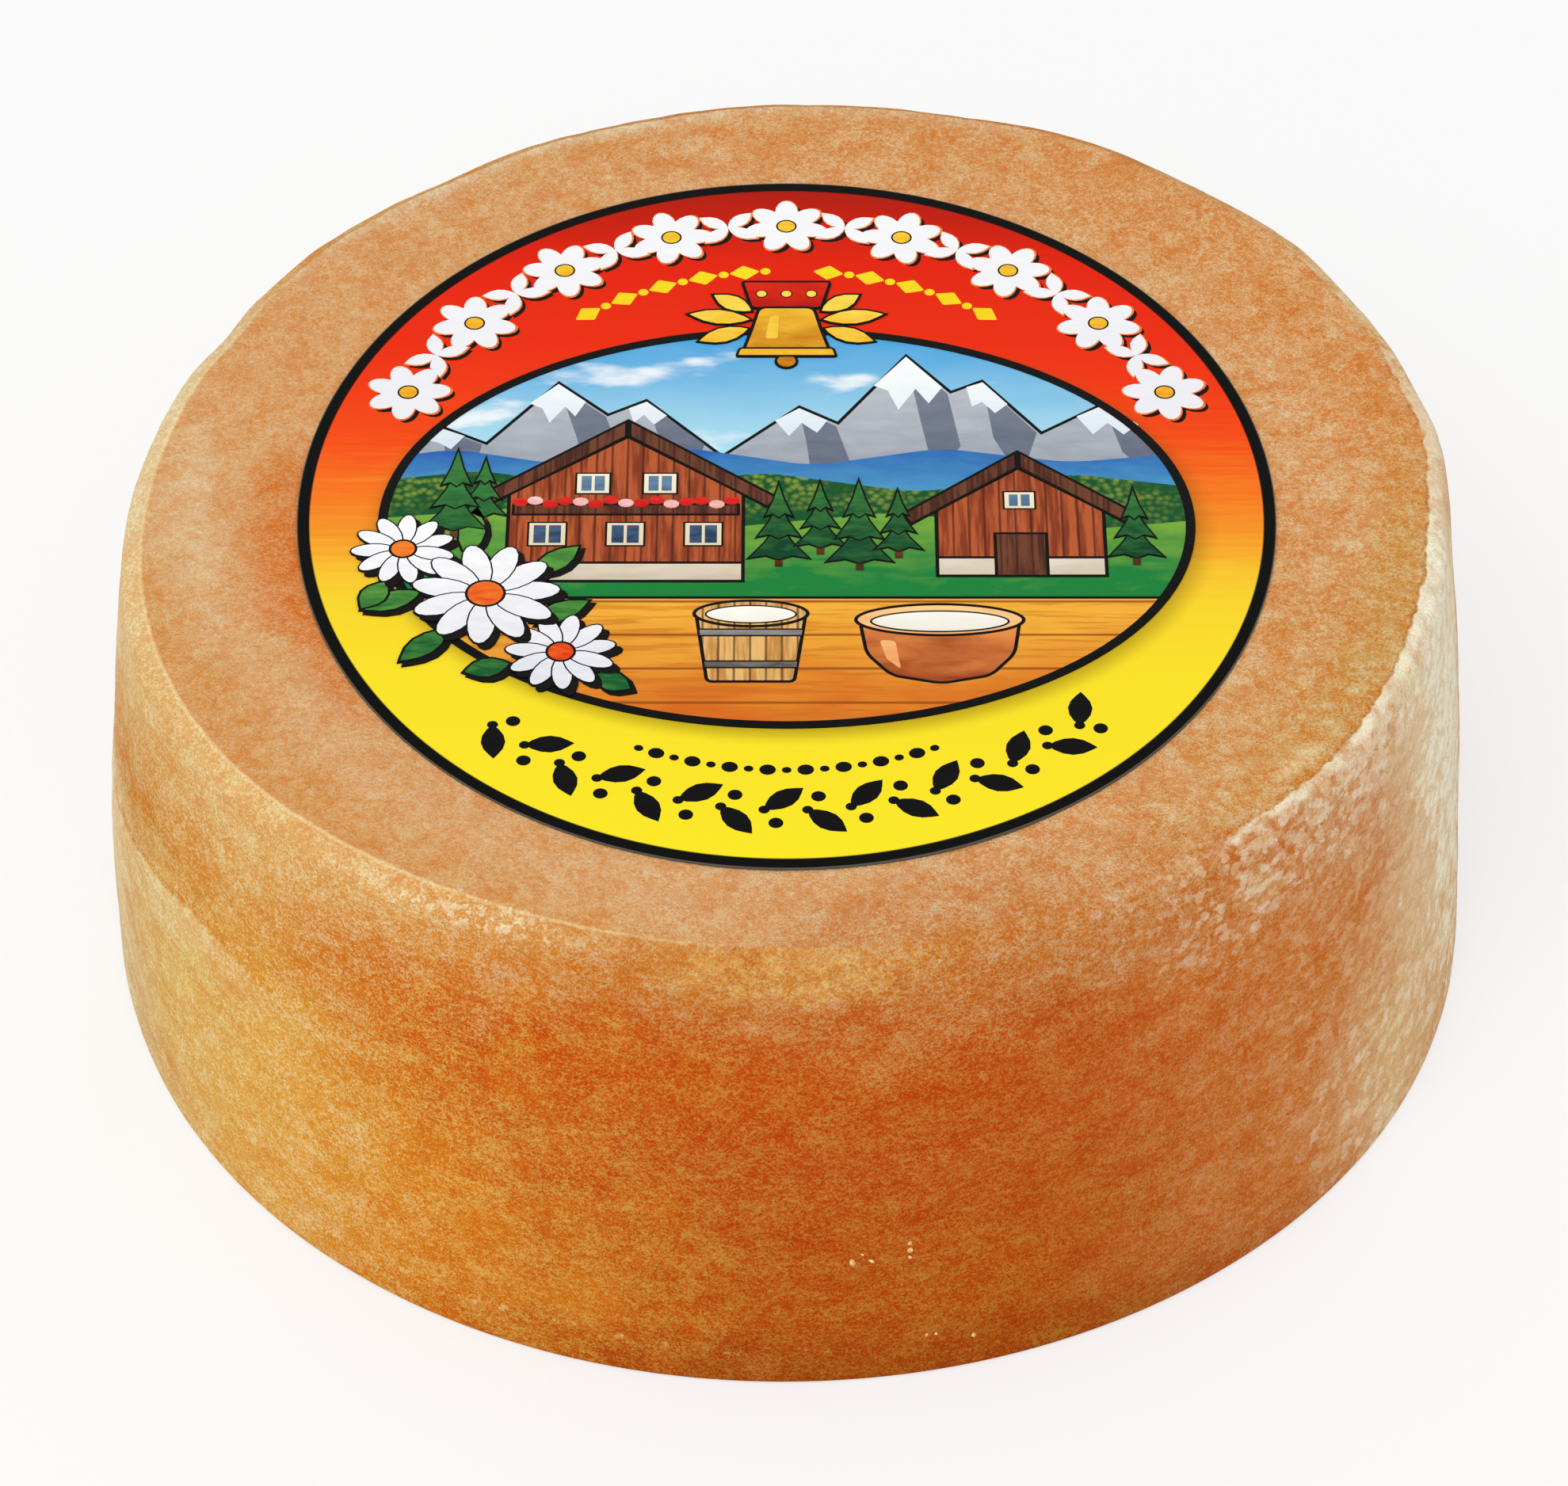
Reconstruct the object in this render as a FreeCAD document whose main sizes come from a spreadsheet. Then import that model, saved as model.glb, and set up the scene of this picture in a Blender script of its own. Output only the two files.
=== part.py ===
import FreeCAD, Part

# A Tete de Moine half wheel. The drum-shaped cheese was cut level across its middle and lies on the
# cut, so the wheel's own face is on top, with a paper label on it. The side tapers from the cut to the
# face in a shallow barrel curve and turns into the face at a narrow round shoulder.
# Millimetres, +Z up, origin at the centre of the cut, the front of the cheese towards -Y.

import os

import Sketcher

# The driving sizes: alias, millimetres, meaning.
SIZES = (
    ("cut_diameter", 110.0, "across the level cut, the widest place"),
    ("face_diameter", 102.0, "across the face, out to the side"),
    ("wheel_height", 40.0, "from the cut to the face"),
    ("side_bulge", 0.7, "how far the side swells out of a straight taper"),
    ("shoulder_round", 1.5, "radius where the side turns into the face"),
    ("label_margin", 13.2, "bare face beside the label, left and right"),
    ("label_stretch", 2.75, "how much further the label reaches to front and back"),
    ("label_right", 0.35, "how far the label lies right of the centre of the face"),
    ("label_forward", 0.9, "how far the label lies in front of the centre of the face"),
    ("label_thickness", 0.2, "the paper with its glue"),
)

CUT_RADIUS = "Sizes.cut_diameter / 2"
FACE_RADIUS = "Sizes.face_diameter / 2"
LABEL_HALF_WIDTH = f"({FACE_RADIUS} - Sizes.label_margin)"
LABEL_HALF_DEPTH = f"({LABEL_HALF_WIDTH} + Sizes.label_stretch)"

# The side is an arc over the straight line from the cut to the face: its radius follows from the
# length of that line and from how far the arc swells out of it.
SIDE_LINE_SQUARED = f"(({CUT_RADIUS} - {FACE_RADIUS})^2 + Sizes.wheel_height^2)"
SIDE_ARC_RADIUS = f"{SIDE_LINE_SQUARED} / (8 * Sizes.side_bulge) + Sizes.side_bulge / 2"

# The ends of a sketch element, and the sketch's own origin and upright axis, in Sketcher's numbers.
START, END, CENTRE = 1, 2, 3
ORIGIN, UPRIGHT_AXIS = -1, -2


def make_sheet(doc):
    """The spreadsheet of driving sizes that everything else is bound to."""
    sheet = doc.addObject("Spreadsheet::Sheet", "Sizes")
    for row, (alias, millimetres, meaning) in enumerate(SIZES, start=1):
        sheet.set(f"A{row}", alias)
        sheet.set(f"B{row}", str(millimetres))
        sheet.set(f"C{row}", meaning)
        sheet.setAlias(f"B{row}", alias)
    doc.recompute()
    return sheet


def sketch_on(body, name, role):
    """An empty sketch on one of the body's own origin planes."""
    plane = next(part for part in body.Origin.OriginFeatures if part.Role == role)
    sketch = body.newObject("Sketcher::SketchObject", name)
    sketch.AttachmentSupport = (plane, [""])
    sketch.MapMode = "FlatFace"
    return sketch


def bind(sketch, name, constraint, expression):
    """Adds a dimension to a sketch under a name and ties it to the sheet."""
    index = sketch.addConstraint(constraint)
    sketch.renameConstraint(index, name)
    sketch.setExpression(f"Constraints.{name}", expression)


def draw_half_section(sketch, sheet):
    """The outline from the wheel's axis out along the cut, up the side and back along the face."""
    cut_radius = sheet.cut_diameter / 2
    face_radius = sheet.face_diameter / 2
    height = sheet.wheel_height
    foot = FreeCAD.Vector(0, 0, 0)
    cut_edge = FreeCAD.Vector(cut_radius, 0, 0)
    swell = FreeCAD.Vector((cut_radius + face_radius) / 2 + sheet.side_bulge, height / 2, 0)
    face_edge = FreeCAD.Vector(face_radius, height, 0)
    top = FreeCAD.Vector(0, height, 0)
    cut = sketch.addGeometry(Part.LineSegment(foot, cut_edge), False)
    side = sketch.addGeometry(Part.Arc(cut_edge, swell, face_edge), False)
    face = sketch.addGeometry(Part.LineSegment(face_edge, top), False)
    axis = sketch.addGeometry(Part.LineSegment(top, foot), False)
    for constraint in (
        Sketcher.Constraint("Coincident", cut, START, ORIGIN, 1),
        Sketcher.Constraint("Horizontal", cut),
        Sketcher.Constraint("Coincident", cut, END, side, START),
        Sketcher.Constraint("Coincident", side, END, face, START),
        Sketcher.Constraint("Horizontal", face),
        Sketcher.Constraint("Coincident", face, END, axis, START),
        Sketcher.Constraint("Coincident", axis, END, cut, START),
        Sketcher.Constraint("PointOnObject", axis, START, UPRIGHT_AXIS),
    ):
        sketch.addConstraint(constraint)
    bind(sketch, "cut", Sketcher.Constraint("Distance", cut, cut_radius), CUT_RADIUS)
    bind(sketch, "face", Sketcher.Constraint("Distance", face, face_radius), FACE_RADIUS)
    bind(sketch, "height", Sketcher.Constraint("Distance", axis, height), "Sizes.wheel_height")
    side_radius = Sketcher.Constraint("Radius", side, sketch.Geometry[side].Radius)
    bind(sketch, "side", side_radius, SIDE_ARC_RADIUS)


def top_edge_name(shape):
    """The name of the edge that runs round the face."""
    heights = [edge.CenterOfMass.z for edge in shape.Edges]
    return f"Edge{heights.index(max(heights)) + 1}"


def make_half_wheel(doc, sheet):
    """The cheese: rind and paste in one solid, turned about the wheel's axis."""
    body = doc.addObject("PartDesign::Body", "HalfWheel")
    body.Label = "cheese_half_wheel"
    sketch = sketch_on(body, "HalfSection", "XZ_Plane")
    draw_half_section(sketch, sheet)
    drum = body.newObject("PartDesign::Revolution", "Drum")
    drum.Profile = sketch
    drum.ReferenceAxis = (sketch, ["V_Axis"])
    drum.Angle = 360
    doc.recompute()
    shoulder = body.newObject("PartDesign::Fillet", "Shoulder")
    shoulder.Base = (drum, [top_edge_name(drum.Shape)])
    shoulder.setExpression("Radius", "Sizes.shoulder_round")
    return body


def draw_oval(sketch, sheet):
    """The label's oval about the sketch's origin, longer from front to back than across."""
    half_width = sheet.face_diameter / 2 - sheet.label_margin
    half_depth = half_width + sheet.label_stretch
    long_tip = FreeCAD.Vector(0, half_depth, 0)
    short_tip = FreeCAD.Vector(half_width, 0, 0)
    oval = sketch.addGeometry(Part.Ellipse(long_tip, short_tip, FreeCAD.Vector()), False)
    sketch.exposeInternalGeometry(oval)
    long_axis = oval + 1
    short_axis = oval + 2
    sketch.addConstraint(Sketcher.Constraint("Coincident", oval, CENTRE, ORIGIN, 1))
    sketch.addConstraint(Sketcher.Constraint("Vertical", long_axis))
    depth = Sketcher.Constraint("Distance", long_axis, 2 * half_depth)
    width = Sketcher.Constraint("Distance", short_axis, 2 * half_width)
    bind(sketch, "depth", depth, f"2 * {LABEL_HALF_DEPTH}")
    bind(sketch, "width", width, f"2 * {LABEL_HALF_WIDTH}")


def make_label(doc, sheet):
    """The label: an oval sheet of paper, glued flat on the face."""
    body = doc.addObject("PartDesign::Body", "PaperLabel")
    body.Label = "paper_label"
    body.setExpression("Placement.Base.x", "Sizes.label_right")
    body.setExpression("Placement.Base.y", "-Sizes.label_forward")
    body.setExpression("Placement.Base.z", "Sizes.wheel_height")
    sketch = sketch_on(body, "Outline", "XY_Plane")
    draw_oval(sketch, sheet)
    paper = body.newObject("PartDesign::Pad", "Paper")
    paper.Profile = sketch
    paper.setExpression("Length", "Sizes.label_thickness")
    return body


def check_document(doc, sub_parts):
    """Stops at any object that failed, and at any sub-part without a sound shape."""
    for part in doc.Objects:
        if "Invalid" in part.State or "Error" in part.State:
            raise RuntimeError(f"{part.Name} failed: {part.State}")
    for part in sub_parts:
        if part.Shape.isNull() or not part.Shape.isValid():
            raise RuntimeError(f"{part.Label} has no sound shape")


def export_parts(sub_parts):
    """Writes each sub-part to a file of its own name."""
    os.makedirs("parts", exist_ok=True)
    for part in sub_parts:
        part.Shape.exportStep(os.path.join("parts", f"{part.Label}.step"))
        print(f"{part.Label}: {part.Shape.Volume / 1000:.2f} cubic centimetres")


def main():
    doc = FreeCAD.newDocument("TeteDeMoineHalfWheel")
    sheet = make_sheet(doc)
    sub_parts = (make_half_wheel(doc, sheet), make_label(doc, sheet))
    doc.recompute()
    check_document(doc, sub_parts)
    export_parts(sub_parts)


main()
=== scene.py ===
import math
import random

import bmesh
import bpy
from mathutils import Matrix, Vector, noise


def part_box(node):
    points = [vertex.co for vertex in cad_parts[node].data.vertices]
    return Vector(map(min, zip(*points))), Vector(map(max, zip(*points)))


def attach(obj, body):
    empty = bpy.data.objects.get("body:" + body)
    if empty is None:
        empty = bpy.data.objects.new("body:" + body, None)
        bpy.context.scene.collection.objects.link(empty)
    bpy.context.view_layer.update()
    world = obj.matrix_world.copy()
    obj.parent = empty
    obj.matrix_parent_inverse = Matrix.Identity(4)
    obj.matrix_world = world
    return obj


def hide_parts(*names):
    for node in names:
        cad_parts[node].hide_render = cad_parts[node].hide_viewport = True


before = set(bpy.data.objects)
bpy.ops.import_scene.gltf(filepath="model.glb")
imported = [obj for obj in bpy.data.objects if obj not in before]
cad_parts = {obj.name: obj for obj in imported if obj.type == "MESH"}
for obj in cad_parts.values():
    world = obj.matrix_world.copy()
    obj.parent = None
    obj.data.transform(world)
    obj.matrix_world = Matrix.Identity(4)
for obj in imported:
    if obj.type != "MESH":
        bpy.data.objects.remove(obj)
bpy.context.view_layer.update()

# Everything is drawn in millimetres and brought to metres when a piece is finished.
MM = 0.001
wheel_low, wheel_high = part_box("cheese_half_wheel")
label_low, label_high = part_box("paper_label")
CUT_RADIUS = (wheel_high.x - wheel_low.x) / 2 / MM
FACE_RADIUS = CUT_RADIUS * 51 / 55
WHEEL_TOP = 40.0
LABEL_X = (label_low.x + label_high.x) / 2 / MM
LABEL_Y = (label_low.y + label_high.y) / 2 / MM
LABEL_HALF_WIDTH = (label_high.x - label_low.x) / 2 / MM
LABEL_HALF_DEPTH = (label_high.y - label_low.y) / 2 / MM
PAPER_TOP = label_high.z / MM

# The camera: where it stands, in metres, how far it looks down, in degrees, and its lens.
CAMERA_PLACE = (0.00016, -0.36329, 0.35047)
CAMERA_DOWN = 42.784
CAMERA_LENS = 141.57

# One pass of printing ink, and how deep a printed shape is sunk into the paper.
INK_PASS = 0.010
INK_SINK = 0.010

# Shapes of one pass that overlap lie this much apart, in so many turns.
INK_HAIR = 0.0004
INK_TURNS = 24


# ---------------------------------------------------------------- camera, lamps and floor


def make_camera():
    """The view from the front and from above, along a long lens."""
    lens = bpy.data.cameras.new("camera")
    lens.sensor_width = 36
    lens.lens = CAMERA_LENS
    lens.clip_start = 0.01
    lens.clip_end = 20
    camera = bpy.data.objects.new("camera", lens)
    camera.location = CAMERA_PLACE
    camera.rotation_euler = (math.radians(90 - CAMERA_DOWN), 0, 0)
    bpy.context.scene.collection.objects.link(camera)
    bpy.context.scene.camera = camera


def make_lamp(name, place, size, power):
    """A soft square lamp that looks at the wheel."""
    light = bpy.data.lights.new(name, "AREA")
    light.shape = "SQUARE"
    light.size = size
    light.energy = power
    lamp = bpy.data.objects.new(name, light)
    lamp.location = place
    lamp.rotation_euler = (Vector((0, 0, 0.02)) - Vector(place)).to_track_quat("-Z", "Y").to_euler()
    bpy.context.scene.collection.objects.link(lamp)


def make_world():
    """An even white room, seen as white."""
    world = bpy.data.worlds.new("studio")
    world.use_nodes = True
    bpy.context.scene.world = world
    tree = world.node_tree
    sky = tree.nodes["Background"]
    sky.inputs["Color"].default_value = (1, 1, 1, 1)
    seen = seen_plainly(tree)
    connect(tree, sky.inputs["Strength"], fade(seen, 0.0, 1.0, 0.70, 1.0))


def seen_plainly(tree):
    """1 where the camera, a reflection or a pane of glass looks at something, and else 0."""
    path = named(add_node(tree, "LightPath"))
    seen = highest(path["Is Camera Ray"], path["Is Glossy Ray"])
    return highest(seen, path["Is Transmission Ray"])


def make_floor():
    """A pale floor, which keeps the wheel's shadow."""
    bm = bmesh.new()
    bmesh.ops.create_grid(bm, x_segments=1, y_segments=1, size=3)
    mesh = bpy.data.meshes.new("floor")
    bm.to_mesh(mesh)
    bm.free()
    floor = bpy.data.objects.new("floor", mesh)
    bpy.context.scene.collection.objects.link(floor)
    material, tree, shader = new_material("floor_paint", 0.9)
    shader.inputs["Base Color"].default_value = paint(247, 247, 247)
    shader.inputs["Specular IOR Level"].default_value = 0.0
    glow = add_node(tree, "Emission", {"Color": (1, 1, 1, 1)})[0]
    share = seen_plainly(tree) * 0.6
    sockets = {0: share, 1: Value(tree, shader.outputs[0]), 2: glow}
    surface = tree.nodes["Material Output"].inputs["Surface"]
    connect(tree, surface, add_node(tree, "MixShader", sockets)[0])
    mesh.materials.append(material)


# ---------------------------------------------------------------- working with nodes


def paint(red, green, blue):
    """A colour as it looks on a screen, 0 to 255, for a shader."""
    parts = []
    for part in (red, green, blue):
        part = part / 255
        parts.append(part / 12.92 if part <= 0.04045 else ((part + 0.055) / 1.055) ** 2.4)
    return (*parts, 1.0)


def calc(tree, operation, *values, clamp=False):
    """The result of a sum on values or numbers."""
    settings = {"operation": operation, "use_clamp": clamp}
    return add_node(tree, "Math", dict(enumerate(values)), **settings)[0]


def summing(operation, swapped=False):
    """A method that works out a sum of two in a node tree."""

    def method(first, second):
        pair = (second, first) if swapped else (first, second)
        return calc(first.tree, operation, *pair)

    return method


class Value:
    """What a node puts out. Sums can be written with it as with a number."""

    def __init__(self, tree, socket):
        self.tree = tree
        self.socket = socket

    __add__ = summing("ADD")
    __sub__ = summing("SUBTRACT")
    __rsub__ = summing("SUBTRACT", swapped=True)
    __mul__ = summing("MULTIPLY")
    __truediv__ = summing("DIVIDE")
    __rtruediv__ = summing("DIVIDE", swapped=True)
    __pow__ = summing("POWER")

    def __abs__(self):
        return calc(self.tree, "ABSOLUTE", self)


highest = summing("MAXIMUM")
lowest = summing("MINIMUM")


def connect(tree, socket, value):
    """Feeds a socket from a node's value, or gives it a plain one."""
    if isinstance(value, Value):
        tree.links.new(value.socket, socket)
    else:
        socket.default_value = value


def add_node(tree, kind, inputs=None, **settings):
    """A node with its settings and inputs made. Returns what it puts out, as values."""
    node = tree.nodes.new("ShaderNode" + kind)
    for name, value in settings.items():
        setattr(node, name, value)
    for name, value in (inputs or {}).items():
        connect(tree, node.inputs[name], value)
    return [Value(tree, socket) for socket in node.outputs]


def fade(value, start, end, low=0.0, high=1.0):
    """Goes smoothly from low to high while value goes from start to end."""
    limits = {"Value": value, "From Min": start, "From Max": end, "To Min": low, "To Max": high}
    return add_node(value.tree, "MapRange", limits, interpolation_type="SMOOTHSTEP")[0]


def mix(share, first, second):
    """Colour first, with a share of colour second."""
    sockets = {0: share, 6: first, 7: second}
    return add_node(share.tree, "Mix", sockets, data_type="RGBA")[2]


def tinted(colour, red, green, blue):
    """A colour with each of its parts brought up or down."""
    sockets = {0: 1.0, 6: colour, 7: (red, green, blue, 1.0)}
    return add_node(colour.tree, "Mix", sockets, data_type="RGBA", blend_type="MULTIPLY")[2]


def cloud(point, size, detail=2.0, stretch=(1, 1, 1), shift=0.0, rough=0.5, warp=0.0):
    """Soft random values round one half, in blots of that many millimetres."""
    scale = tuple(1 / (size * part) for part in stretch)
    sockets = {"Vector": point, "Scale": scale, "Location": (shift, shift * 0.7, -shift)}
    placed = add_node(point.tree, "Mapping", sockets)[0]
    return plain_cloud(placed, 1.0, detail, rough, warp)[0]


def plain_cloud(point, scale, detail, rough=0.5, warp=0.0):
    """A cloud at that scale: its value and its colour."""
    sockets = {"Vector": point, "Scale": scale, "Detail": detail, "Roughness": rough}
    return add_node(point.tree, "TexNoise", {**sockets, "Distortion": warp})


def root_of(value):
    return calc(value.tree, "SQRT", value)


def split(point):
    return add_node(point.tree, "SeparateXYZ", {0: point})


def split_colour(colour):
    return add_node(colour.tree, "SeparateColor", {0: colour})


def ramp(value, stops):
    """A run of colours along a value from 0 to 1."""
    colour = add_node(value.tree, "ValToRGB", {"Fac": value})[0]
    elements = colour.socket.node.color_ramp.elements
    while len(elements) < len(stops):
        elements.new(0.5)
    for element, (position, shade) in zip(elements, stops):
        element.position = position
        element.color = paint(*shade)
    return colour


def new_material(name, roughness, gloss=0.12):
    """A material with its tree and its shader."""
    material = bpy.data.materials.new(name)
    material.use_nodes = True
    tree = material.node_tree
    shader = tree.nodes["Principled BSDF"]
    shader.inputs["Roughness"].default_value = roughness
    shader.inputs["Specular IOR Level"].default_value = gloss
    return material, tree, shader


def new_group(name, inputs, outputs):
    """A node group with named sockets: the values that go in and the kinds that come out."""
    group = bpy.data.node_groups.new(name, "ShaderNodeTree")
    for label, value in inputs.items():
        kind = "Float" if isinstance(value, float) else {3: "Vector", 4: "Color"}[len(value)]
        socket = group.interface.new_socket(label, socket_type="NodeSocket" + kind)
        socket.default_value = value
    for label, kind in outputs.items():
        kind = "NodeSocket" + kind
        group.interface.new_socket(label, in_out="OUTPUT", socket_type=kind)
    given = [Value(group, socket) for socket in group.nodes.new("NodeGroupInput").outputs]
    return group, named(given), group.nodes.new("NodeGroupOutput").inputs


def named(values):
    return {value.socket.name: value for value in values}


def use_group(tree, name, inputs=None):
    """Places a group in a tree, with its own values, and returns what it puts out by name."""
    return named(add_node(tree, "Group", inputs, node_tree=groups[name]))


def bump(tree, shader, height, strength=1.0):
    """Relief from a height in millimetres."""
    sockets = {"Height": height, "Strength": strength, "Distance": MM}
    connect(tree, shader.inputs["Normal"], add_node(tree, "Bump", sockets)[0])


def flecks(point, size, limit):
    """A mask of small scattered spots."""
    return use_group(point.tree, "flecks", {"Point": point, "Size": size, "Limit": limit})["Mask"]


def up_the_label(point):
    return split(point)[1] - LABEL_Y


# ---------------------------------------------------------------- effects that materials share

groups = {}

# What a socket of a group holds until something is connected to it.
NOWHERE = (0, 0, 0)
BLACK = (0, 0, 0, 1)


def build_place_group():
    """Where a point is: millimetres, degrees round from the front, height and distance out."""
    outputs = {"Point": "Vector", "Turn": "Float", "Height": "Float", "Out": "Float"}
    group, _, out = new_group("place on the wheel", {}, outputs)
    here = named(add_node(group, "TexCoord"))["Object"]
    point = add_node(group, "VectorMath", {0: here, "Scale": 1 / MM}, operation="SCALE")[0]
    x, y, height = split(point)
    connect(group, out["Point"], point)
    connect(group, out["Turn"], calc(group, "DEGREES", calc(group, "ARCTAN2", x, y * -1.0)))
    connect(group, out["Height"], height)
    connect(group, out["Out"], root_of(x**2.0 + y**2.0))
    return group


# A zone's middle and reach in degrees round and in millimetres up or out, how soft its edge is,
# how far the edge frays and how coarsely.
ZONE_SOCKETS = (
    "Turn Middle", "Turn Reach", "Up Middle", "Up Reach", "Feather", "Fray", "Fray Size",
)


def build_zone_group():
    """A soft-edged oval on the rind, laid out by degrees round and millimetres up or out."""
    inputs = {"Point": NOWHERE, "Turn": 0.0, "Up": 0.0, **dict.fromkeys(ZONE_SOCKETS, 1.0)}
    group, given, out = new_group("zone on the rind", inputs, {"Mask": "Float"})
    apart = calc(group, "WRAP", given["Turn"] - given["Turn Middle"], 180.0, -180.0)
    across = (apart / given["Turn Reach"]) ** 2.0
    rise = ((given["Up"] - given["Up Middle"]) / given["Up Reach"]) ** 2.0
    frayed = plain_cloud(given["Point"], 1.0 / given["Fray Size"], 5.0, 0.6)[0]
    far = root_of(across + rise) + (frayed - 0.5) * given["Fray"] * 2.0
    feather = given["Feather"]
    connect(group, out["Mask"], fade(far, 1.0 - feather, feather + 1.0, 1.0, 0.0))
    return group


# How far the felt swings red, green and blue: at most, as a share of the colour, and how much
# further towards pale than towards deep.
FELT_STEPS = ((0.016, 0.06, -0.03), (0.042, 0.27, 0.08), (0.031, 0.5, 0.20))
DARKEST = 0.002


def build_felt_group():
    """The rind's felt: tufts and fibres, deeper and paler by turns, and their relief."""
    inputs = {"Point": NOWHERE, "Color": BLACK, "Contrast": 1.0}
    group, given, out = new_group("felt", inputs, {"Color": "Color", "Relief": "Float"})
    point = given["Point"]
    tufts = cloud(point, 2.2, 5.0, (1.4, 1.4, 1), 57.0, 0.75, 0.3)
    fibre = cloud(point, 0.34, 3.0, (1.4, 1.4, 1), 0.0, 0.7, 0.1)
    grain = cloud(point, 0.17, 2.0, shift=31.0)
    fine = fibre * 0.48 + grain * 0.52
    height = tufts * 0.30 + fine * 0.70
    swing = lowest(highest((height - 0.5) / 0.03, -2.4), 2.6) * given["Contrast"]
    spread = swing * swing - 1.0
    parts = []
    for part, (most, share, bend) in zip(split_colour(given["Color"]), FELT_STEPS):
        step = lowest(part * share, most)
        parts.append(highest(step * (spread * bend + swing) + part, DARKEST))
    connect(group, out["Color"], add_node(group, "CombineColor", dict(enumerate(parts)))[0])
    connect(group, out["Relief"], fine)
    return group


def build_fleck_group():
    """Scattered small spots: where a fine cloud rises over a limit."""
    inputs = {"Point": NOWHERE, "Size": 1.0, "Limit": 0.66}
    group, given, out = new_group("flecks", inputs, {"Mask": "Float"})
    spots = plain_cloud(given["Point"], 1.0 / given["Size"], 3.0, 0.55)[0]
    connect(group, out["Mask"], fade(spots, given["Limit"], given["Limit"] + 0.05))
    return group


# Two colours, how high up the label each is reached, and how strong and coarse the strokes are.
PAINT_SOCKETS = ("Low Color", "High Color", "Low", "High", "Stroke", "Stroke Size")


def build_painted_group():
    """Printed paint: one colour runs up into another through loose brush strokes."""
    inputs = dict(zip(PAINT_SOCKETS, (BLACK, BLACK, 0.0, 1.0, 0.5, 2.0)))
    group, given, out = new_group("printed paint", inputs, {"Color": "Color"})
    point = use_group(group, "place")["Point"]
    flat = add_node(group, "Mapping", {"Vector": point, "Scale": (0.45, 1.2, 1.0)})[0]
    strokes = plain_cloud(flat, 1.0 / given["Stroke Size"], 3.0, 0.5, 0.4)[0]
    strokes = (strokes - 0.5) * given["Stroke"] * 3.0
    share = (up_the_label(point) - given["Low"]) / (given["High"] - given["Low"])
    share = calc(group, "ADD", share, strokes, clamp=True)
    connect(group, out["Color"], mix(share, given["Low Color"], given["High Color"]))
    return group


def build_crumb_group():
    """Packed crumbs: nearness to the heart of one, and a lot that each one draws."""
    inputs = {"Point": NOWHERE, "Size": 1.0}
    group, given, out = new_group("packed crumbs", inputs, {"Near": "Float", "Lot": "Float"})
    point = given["Point"]
    shake = plain_cloud(point, 0.9, 2.0)[1]
    moved = {0: shake, 1: (1.6, 1.6, 1.2), 2: point}
    moved = add_node(group, "VectorMath", moved, operation="MULTIPLY_ADD")[0]
    flat = {0: moved, 1: (0.75, 0.75, 1.0)}
    flat = add_node(group, "VectorMath", flat, operation="MULTIPLY")[0]
    cells = {"Vector": flat, "Scale": 1.0 / given["Size"], "Randomness": 1.0}
    distance, colour = add_node(group, "TexVoronoi", cells)[:2]
    connect(group, out["Near"], 1.0 - distance)
    connect(group, out["Lot"], split_colour(colour)[0])
    return group


def build_groups():
    for name, build in (
        ("place", build_place_group),
        ("zone", build_zone_group),
        ("felt", build_felt_group),
        ("flecks", build_fleck_group),
        ("crumbs", build_crumb_group),
        ("painted", build_painted_group),
    ):
        groups[name] = build()


# ---------------------------------------------------------------- the cheese


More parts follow.
